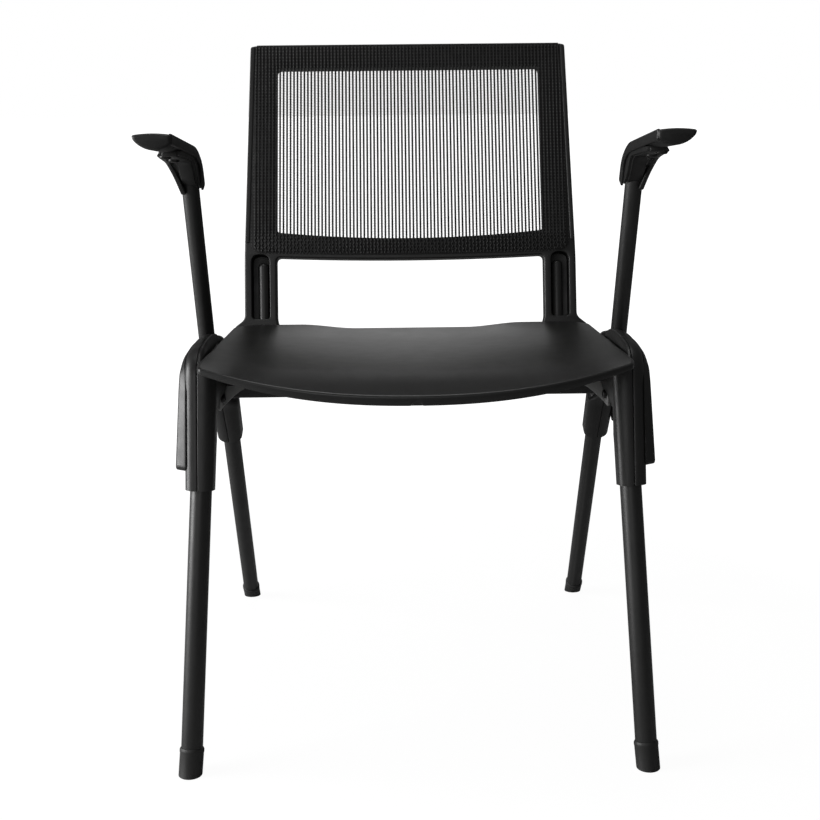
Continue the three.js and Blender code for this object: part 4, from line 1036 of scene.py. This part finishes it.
PIVOT_Y, PIVOT_Z, PIVOT_RADIUS, PIVOT_REACH = 289.99, 422, 9, 247.5
SEAT_BAR_FRONT, SEAT_BAR_REAR = 69.99, 305.99
SADDLE_HALF, SADDLE_BORE, SADDLE_FRONT_HALF = 13, 12, 18
BUSH_OUTER, BUSH_INNER = SADDLE_BORE - GAP, PIVOT_RADIUS + GAP


def seat_bar():
    low = [(y, bar_top(y) - BAR_THICK, 1.5) for y in (SEAT_BAR_FRONT, SEAT_BAR_REAR)]
    high = [(y, bar_top(y), 1.5) for y in (SEAT_BAR_REAR, SEAT_BAR_FRONT)]
    levels = plate_levels(BAR_X - BAR_HALF, BAR_X + BAR_HALF, 1, 1, 3)
    return slab([outline(low + high, 6)], levels, upright)


both("bar_seat", seat_bar(), TUBE, "seat", ["seat_bar"])


def circle(y, z, radius, count=48):
    return [Vector((y + a, z + b)) for a, b in turned(count, radius)]


def saddle():
    front, rear, foot = PIVOT_Y - SADDLE_FRONT_HALF, SEAT_BAR_REAR, PIVOT_Z - SADDLE_FRONT_HALF
    feet = [(front, foot, 12), (rear, foot, 12)]
    loop = outline(feet + [(rear, bar_under(rear), 1), (front, bar_under(front), 1)])
    levels = plate_levels(BAR_X - SADDLE_HALF, BAR_X + SADDLE_HALF, 1.2, 1.2, 3)
    return slab([loop, circle(PIVOT_Y, PIVOT_Z, SADDLE_BORE)], levels, upright)


def bush():
    reach = SADDLE_HALF + GAP
    rounds = [circle(PIVOT_Y, PIVOT_Z, radius) for radius in (BUSH_OUTER, BUSH_INNER)]
    return slab(rounds, plate_levels(BAR_X - reach, BAR_X + reach, 0.5, 0.5, 2), upright)


both("saddle", saddle(), MOULDING, "seat", ["seat_saddle"])
both("bush", bush(), RUBBER, "seat", ["seat_bush"])
pivot = tube([(x, PIVOT_Y, PIVOT_Z) for x in (-PIVOT_REACH, PIVOT_REACH)], PIVOT_RADIUS)
make("tube_pivot", pivot, TUBE, "frame", ["pivot_tube"])

BUMPER_RADIUS = 10
bumper_low = BEAM_TOP + GAP
bumper_tall = bar_under(BEAM_Y + BUMPER_RADIUS) - bumper_low
bumper_profile = [(0, 0), (6, 0), (8.4, 0.5), (9.6, 1.8), (BUMPER_RADIUS, 3.6)]
bumper_profile += [(BUMPER_RADIUS, bumper_tall - 2), (9.4, bumper_tall - 0.5)]
bumper_profile += [(8.6, bumper_tall), (0, bumper_tall)]
bumper = lathe(bumper_profile, (BAR_X, BEAM_Y, bumper_low), (0, 0, 1), 40)
both("bumper", bumper, RUBBER, "seat", ["seat_bumper"])

SCREW_HEAD, SCREW_HEIGHT = 6.5, 3.5
SEAT_SCREW_LENGTH, ARM_SCREW_LENGTH = 11, 9


def add_screws(name, node, body, length, feet):
    for label, foot in zip(("front", "rear"), feet):
        screw = lathe(pan_head(SCREW_HEAD, SCREW_HEIGHT, length), foot, (0, 0, 1), 36)
        both(f"{name}_{label}", screw, SCREW, body, [f"{node}_{label}"])


seat_screw_feet = [(BAR_X, y, bar_under(y + SCREW_HEAD)) for y in SEAT_SCREWS]
add_screws("screw_seat", "seat_screw", "seat", SEAT_SCREW_LENGTH, seat_screw_feet)

# Armrests

ARM_X, ARM_Y, ARM_Z, ARM_RAKE = 255, 226.99, 468, 0.357
ARM_FOOT, ARM_TOP, ARM_RADIUS = 408, 678, 10
PAD_TOP, PAD_FRONT, PAD_REAR, PAD_FALL, PAD_X = 724, -38.01, 95.99, 17, 260
PAD_HALF, PAD_KEEL, PAD_THICK = 20, 0.1, 17
BAND_INNER, BAND_OUTER, BAND_DEPTH, BAND_SET_BACK = 240, 243.1, 11, 3.4
WEB_INNER, WEB_OUTER, CHEEK_INNER, CHEEK_OUTER = 242.9, 263, 262, 267.6
CREST_DROP, KNEE_Y, WEB_END_Y, BEHIND_TUBE = 0.9, 130, 96.3, 14.6


def arm_point(z):
    return Vector((ARM_X, ARM_Y - ARM_RAKE * (z - ARM_Z), z))


def pad_top(y):
    return PAD_TOP - PAD_FALL * (y - PAD_FRONT) / (PAD_REAR - PAD_FRONT)


arm_tube = tube([arm_point(ARM_FOOT), arm_point(ARM_TOP)], ARM_RADIUS, 56)
both("tube_arm", arm_tube, TUBE, "frame", ["arm_tube"])


def crest(y):
    """The bracket's top edge, beside the pad and on to its knee."""
    return pad_top(y) - CREST_DROP


def cheek_place(y, z, x):
    """The outer cheek: it stands out below its upper edge and comes in again towards its foot."""
    out = 9 * smooth((704 - z) / 15) - 12 * min(1, max(0, (690 - z) / 40))
    return Vector((x + out, y, z))


def recess_place(y, z, x):
    """The core of the web, set a little forward and down in its channel."""
    return Vector((x, y - 1.2, z - 1.2))


def bracket():
    """A channel: a band beside the pad that turns down behind the tube, a web and an outer cheek."""
    foot, behind, throat = arm_point(652), arm_point(682).y + BEHIND_TUBE, arm_point(ARM_TOP).y - 14
    knee, web_top, band_front = crest(KNEE_Y), crest(WEB_END_Y), PAD_FRONT + BAND_SET_BACK
    top = [(foot.y + BEHIND_TUBE, 657, 4), (behind, 682, 14), (KNEE_Y, knee, 22)]
    cheek = [(foot.y - 14, 647, 4), *top, (WEB_END_Y, web_top, 0), (WEB_END_Y, web_top - 5.5, 0)]
    cheek += [(46, 705, 0), (46, 697, 5), (throat - 18, 686, 10), (throat, 669, 10)]
    band = [(foot.y + 1, 652, 0), *top, (band_front, crest(PAD_FRONT), 2.5)]
    band += [(band_front, crest(PAD_FRONT) - BAND_DEPTH, 2), (124, crest(124) - BAND_DEPTH, 14)]
    band.append((behind - 14, 679, 12))
    web = [(foot.y, 654, 0), (foot.y + 11, 657, 0), (behind - 3, 681, 12), (128.5, knee - 2, 20)]
    web += [(WEB_END_Y, web_top - 2, 0), (WEB_END_Y, web_top - 8, 0), (28, 703, 0), (28, 698.4, 2)]
    web += [(throat - 16, 688, 10), (throat - 1.5, 670, 8), (foot.y - 11.5, 659, 3)]
    band, cheek, web = (outline(corners, 12) for corners in (band, cheek, web))
    shape = slab([band], plate_levels(BAND_INNER, BAND_OUTER, 1.4, 0.8, 4), upright)
    shape.add(slab([cheek], plate_levels(CHEEK_INNER, CHEEK_OUTER, 0.8, 1.6, 4), cheek_place))
    shape.add(slab([web], plate_levels(WEB_INNER, WEB_OUTER, 0.6, 0.3, 2), upright))
    shape.add(slab([web], plate_levels(246.2, CHEEK_INNER, 0.9, 0.9, 3), recess_place))
    return shape


both("bracket_arm", bracket(), MOULDING, "frame", ["arm_bracket"])


def arm_pad():
    """A lens-bottomed pad with a plain band round its upper edge and a fine seam under the band."""
    shape, rings = Shape(), []
    length = PAD_REAR - PAD_FRONT
    offsets = [0, 0.3, 0.8, 1.6, 2.6, 3, 3.2, 4, 5.5]
    ys = [PAD_FRONT + d for d in offsets] + [PAD_FRONT + length * i / 24 for i in range(2, 23)]
    ys += [PAD_REAR - d for d in offsets[::-1]]
    for y in ys:
        run = min(y - PAD_FRONT, PAD_REAR - y)
        k = 4 * bite(run, 5.5)
        share = (y - PAD_FRONT) / length
        half, top = PAD_HALF - k, pad_top(y) - 0.75 * k
        thick = PAD_THICK - 6 * share - 1.5 * k
        band = 2.6 - 0.4 * k - 0.4 * share
        inner = BAND_INNER if y - PAD_FRONT < BAND_SET_BACK - GAP else BAND_OUTER + GAP
        ring = [(-half, top - 3.4), (-half + 0.6, top - 2.0)]
        for i in range(13):
            across = -math.cos(math.pi * i / 12)
            ring.append((across * (half - 2.2), top - 1.4 * across**2 * (1 - 2.2 / half)))
        for t in (0.4, 0.8, 1.2, 1.57):
            ring.append((half - 2.2 + 2.2 * math.sin(t), top - 1.4 - 2.2 * (1 - math.cos(t))))
        ring += [(half, top - 0.8 - band), (half - 0.25, top - 1.4 - band)]
        low = top - 2.1 - band
        ring += [(half - 0.9, top - 1.5 - band), (half - 0.9, top - 1.9 - band), (half - 0.35, low)]
        for i in range(1, 17):
            across = math.cos(math.pi * i / 16)
            from_keel = (across + PAD_KEEL) / (1 + PAD_KEEL)
            ring.append((across * (half - 0.35), low - (thick - band - 2.1) * (1 - from_keel**2) ** 0.75))
        rings.append(shape.ring([(max(inner, PAD_X + x), y, z) for x, z in ring]))
    return shape.capped(rings)


for piece in both("pad_arm", arm_pad(), PAD, "frame", ["arm_pad"], sharp=50):
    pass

ARM_SCREWS, ARM_SCREW_Z, ARM_SCREW_SLOPE = (35.99, 87.99), 702, 0.12
arm_screw_feet = [(PAD_X, y, ARM_SCREW_Z - ARM_SCREW_SLOPE * y) for y in ARM_SCREWS]
add_screws("screw_arm", "arm_screw", "frame", ARM_SCREW_LENGTH, arm_screw_feet)

for side in ("left", "right"):
    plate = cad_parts[f"hub_plate_{side}"]
    plate.data.materials.clear()
    plate.data.materials.append(GREY_STEEL)


# Floor, lights and background

def white_to_the_eye(n):
    """One for rays from the camera, also through clear pieces, and nought for the chair's light."""
    path = n.add("ShaderNodeLightPath")
    either = n.add("ShaderNodeMath", operation="MAXIMUM")
    n.join(path.outputs["Is Camera Ray"], either.inputs[0])
    n.join(path.outputs["Is Transmission Ray"], either.inputs[1])
    return either.outputs[0]


FLOOR_HALF, FLOOR_TONE, FLOOR_GLOW = 30, 0.4, 1.2
GLOW_NEAR, FADE_START, FADE_END = 0.8, 0.6, 1.3


def add_floor():
    """A pale floor that keeps a faint shadow near the chair and fades to plain white away from it."""
    side = FLOOR_HALF
    mesh = bpy.data.meshes.new("floor")
    corners = [(-side, -side, 0), (side, -side, 0), (side, side, 0), (-side, side, 0)]
    mesh.from_pydata(corners, [], [(0, 1, 2, 3)])
    material = bpy.data.materials.new("pale_floor")
    material.use_nodes = True
    n = Nodes(material.node_tree)
    n.tree.nodes.clear()
    out = n.add("ShaderNodeOutputMaterial")
    seen = white_to_the_eye(n)
    diffuse = n.add("ShaderNodeBsdfDiffuse")
    diffuse.inputs["Color"].default_value = (FLOOR_TONE, FLOOR_TONE, FLOOR_TONE, 1)
    glow = n.add("ShaderNodeEmission")
    glow.inputs["Strength"].default_value = FLOOR_GLOW
    mix = n.add("ShaderNodeMixShader")
    share = n.add("ShaderNodeMath", operation="MULTIPLY")
    length = n.add("ShaderNodeVectorMath", operation="LENGTH")
    n.join(n.add("ShaderNodeNewGeometry").outputs["Position"], length.inputs[0])
    fade = n.remap(length.outputs["Value"], GLOW_NEAR, 1, FADE_START, FADE_END, "SMOOTHSTEP")
    n.join(fade, share.inputs[1])
    n.join(seen, share.inputs[0])
    n.join(share.outputs[0], mix.inputs["Fac"])
    n.join(diffuse.outputs[0], mix.inputs[1])
    n.join(glow.outputs[0], mix.inputs[2])
    n.join(mix.outputs[0], out.inputs["Surface"])
    mesh.materials.append(material)
    floor = bpy.data.objects.new("floor", mesh)
    bpy.context.scene.collection.objects.link(floor)


WORLD_LIGHT, WORLD_SEEN = 0.12, 1.0


def add_world():
    world = bpy.data.worlds.new("studio")
    bpy.context.scene.world = world
    world.use_nodes = True
    n = Nodes(world.node_tree)
    background = n.tree.nodes["Background"]
    background.inputs["Color"].default_value = (1, 1, 1, 1)
    strength = n.remap(white_to_the_eye(n), WORLD_LIGHT, WORLD_SEEN, 0, 1)
    n.join(strength, background.inputs["Strength"])


def add_lamp(name, place, aim, size, power):
    """A round soft lamp: its place and aim in metres, its size and its power in watts."""
    data = bpy.data.lights.new(name, "AREA")
    data.shape, data.size, data.energy = "DISK", size, power
    lamp = bpy.data.objects.new(name, data)
    bpy.context.scene.collection.objects.link(lamp)
    lamp.visible_camera = False
    lamp.location = place
    lamp.rotation_mode = "QUATERNION"
    lamp.rotation_quaternion = (Vector(aim) - Vector(place)).to_track_quat("-Z", "Y")


add_floor()
add_world()
add_lamp("key", (-2.65, -0.42, 0.9), (0, 0, 0.4), 1.7, 88)
add_lamp("top", (-0.2, 0.1, 2.5), (0, 0.1, 0.45), 1.0, 10)
add_lamp("back", (0.0, 2.5, 1.28), (0, 0.3, 0.45), 0.8, 1.7)
add_lamp("fill", (-0.6, -2.6, 1.4), (0, 0, 0.4), 1.2, 7)
bpy.context.scene.view_settings.view_transform = "Standard"
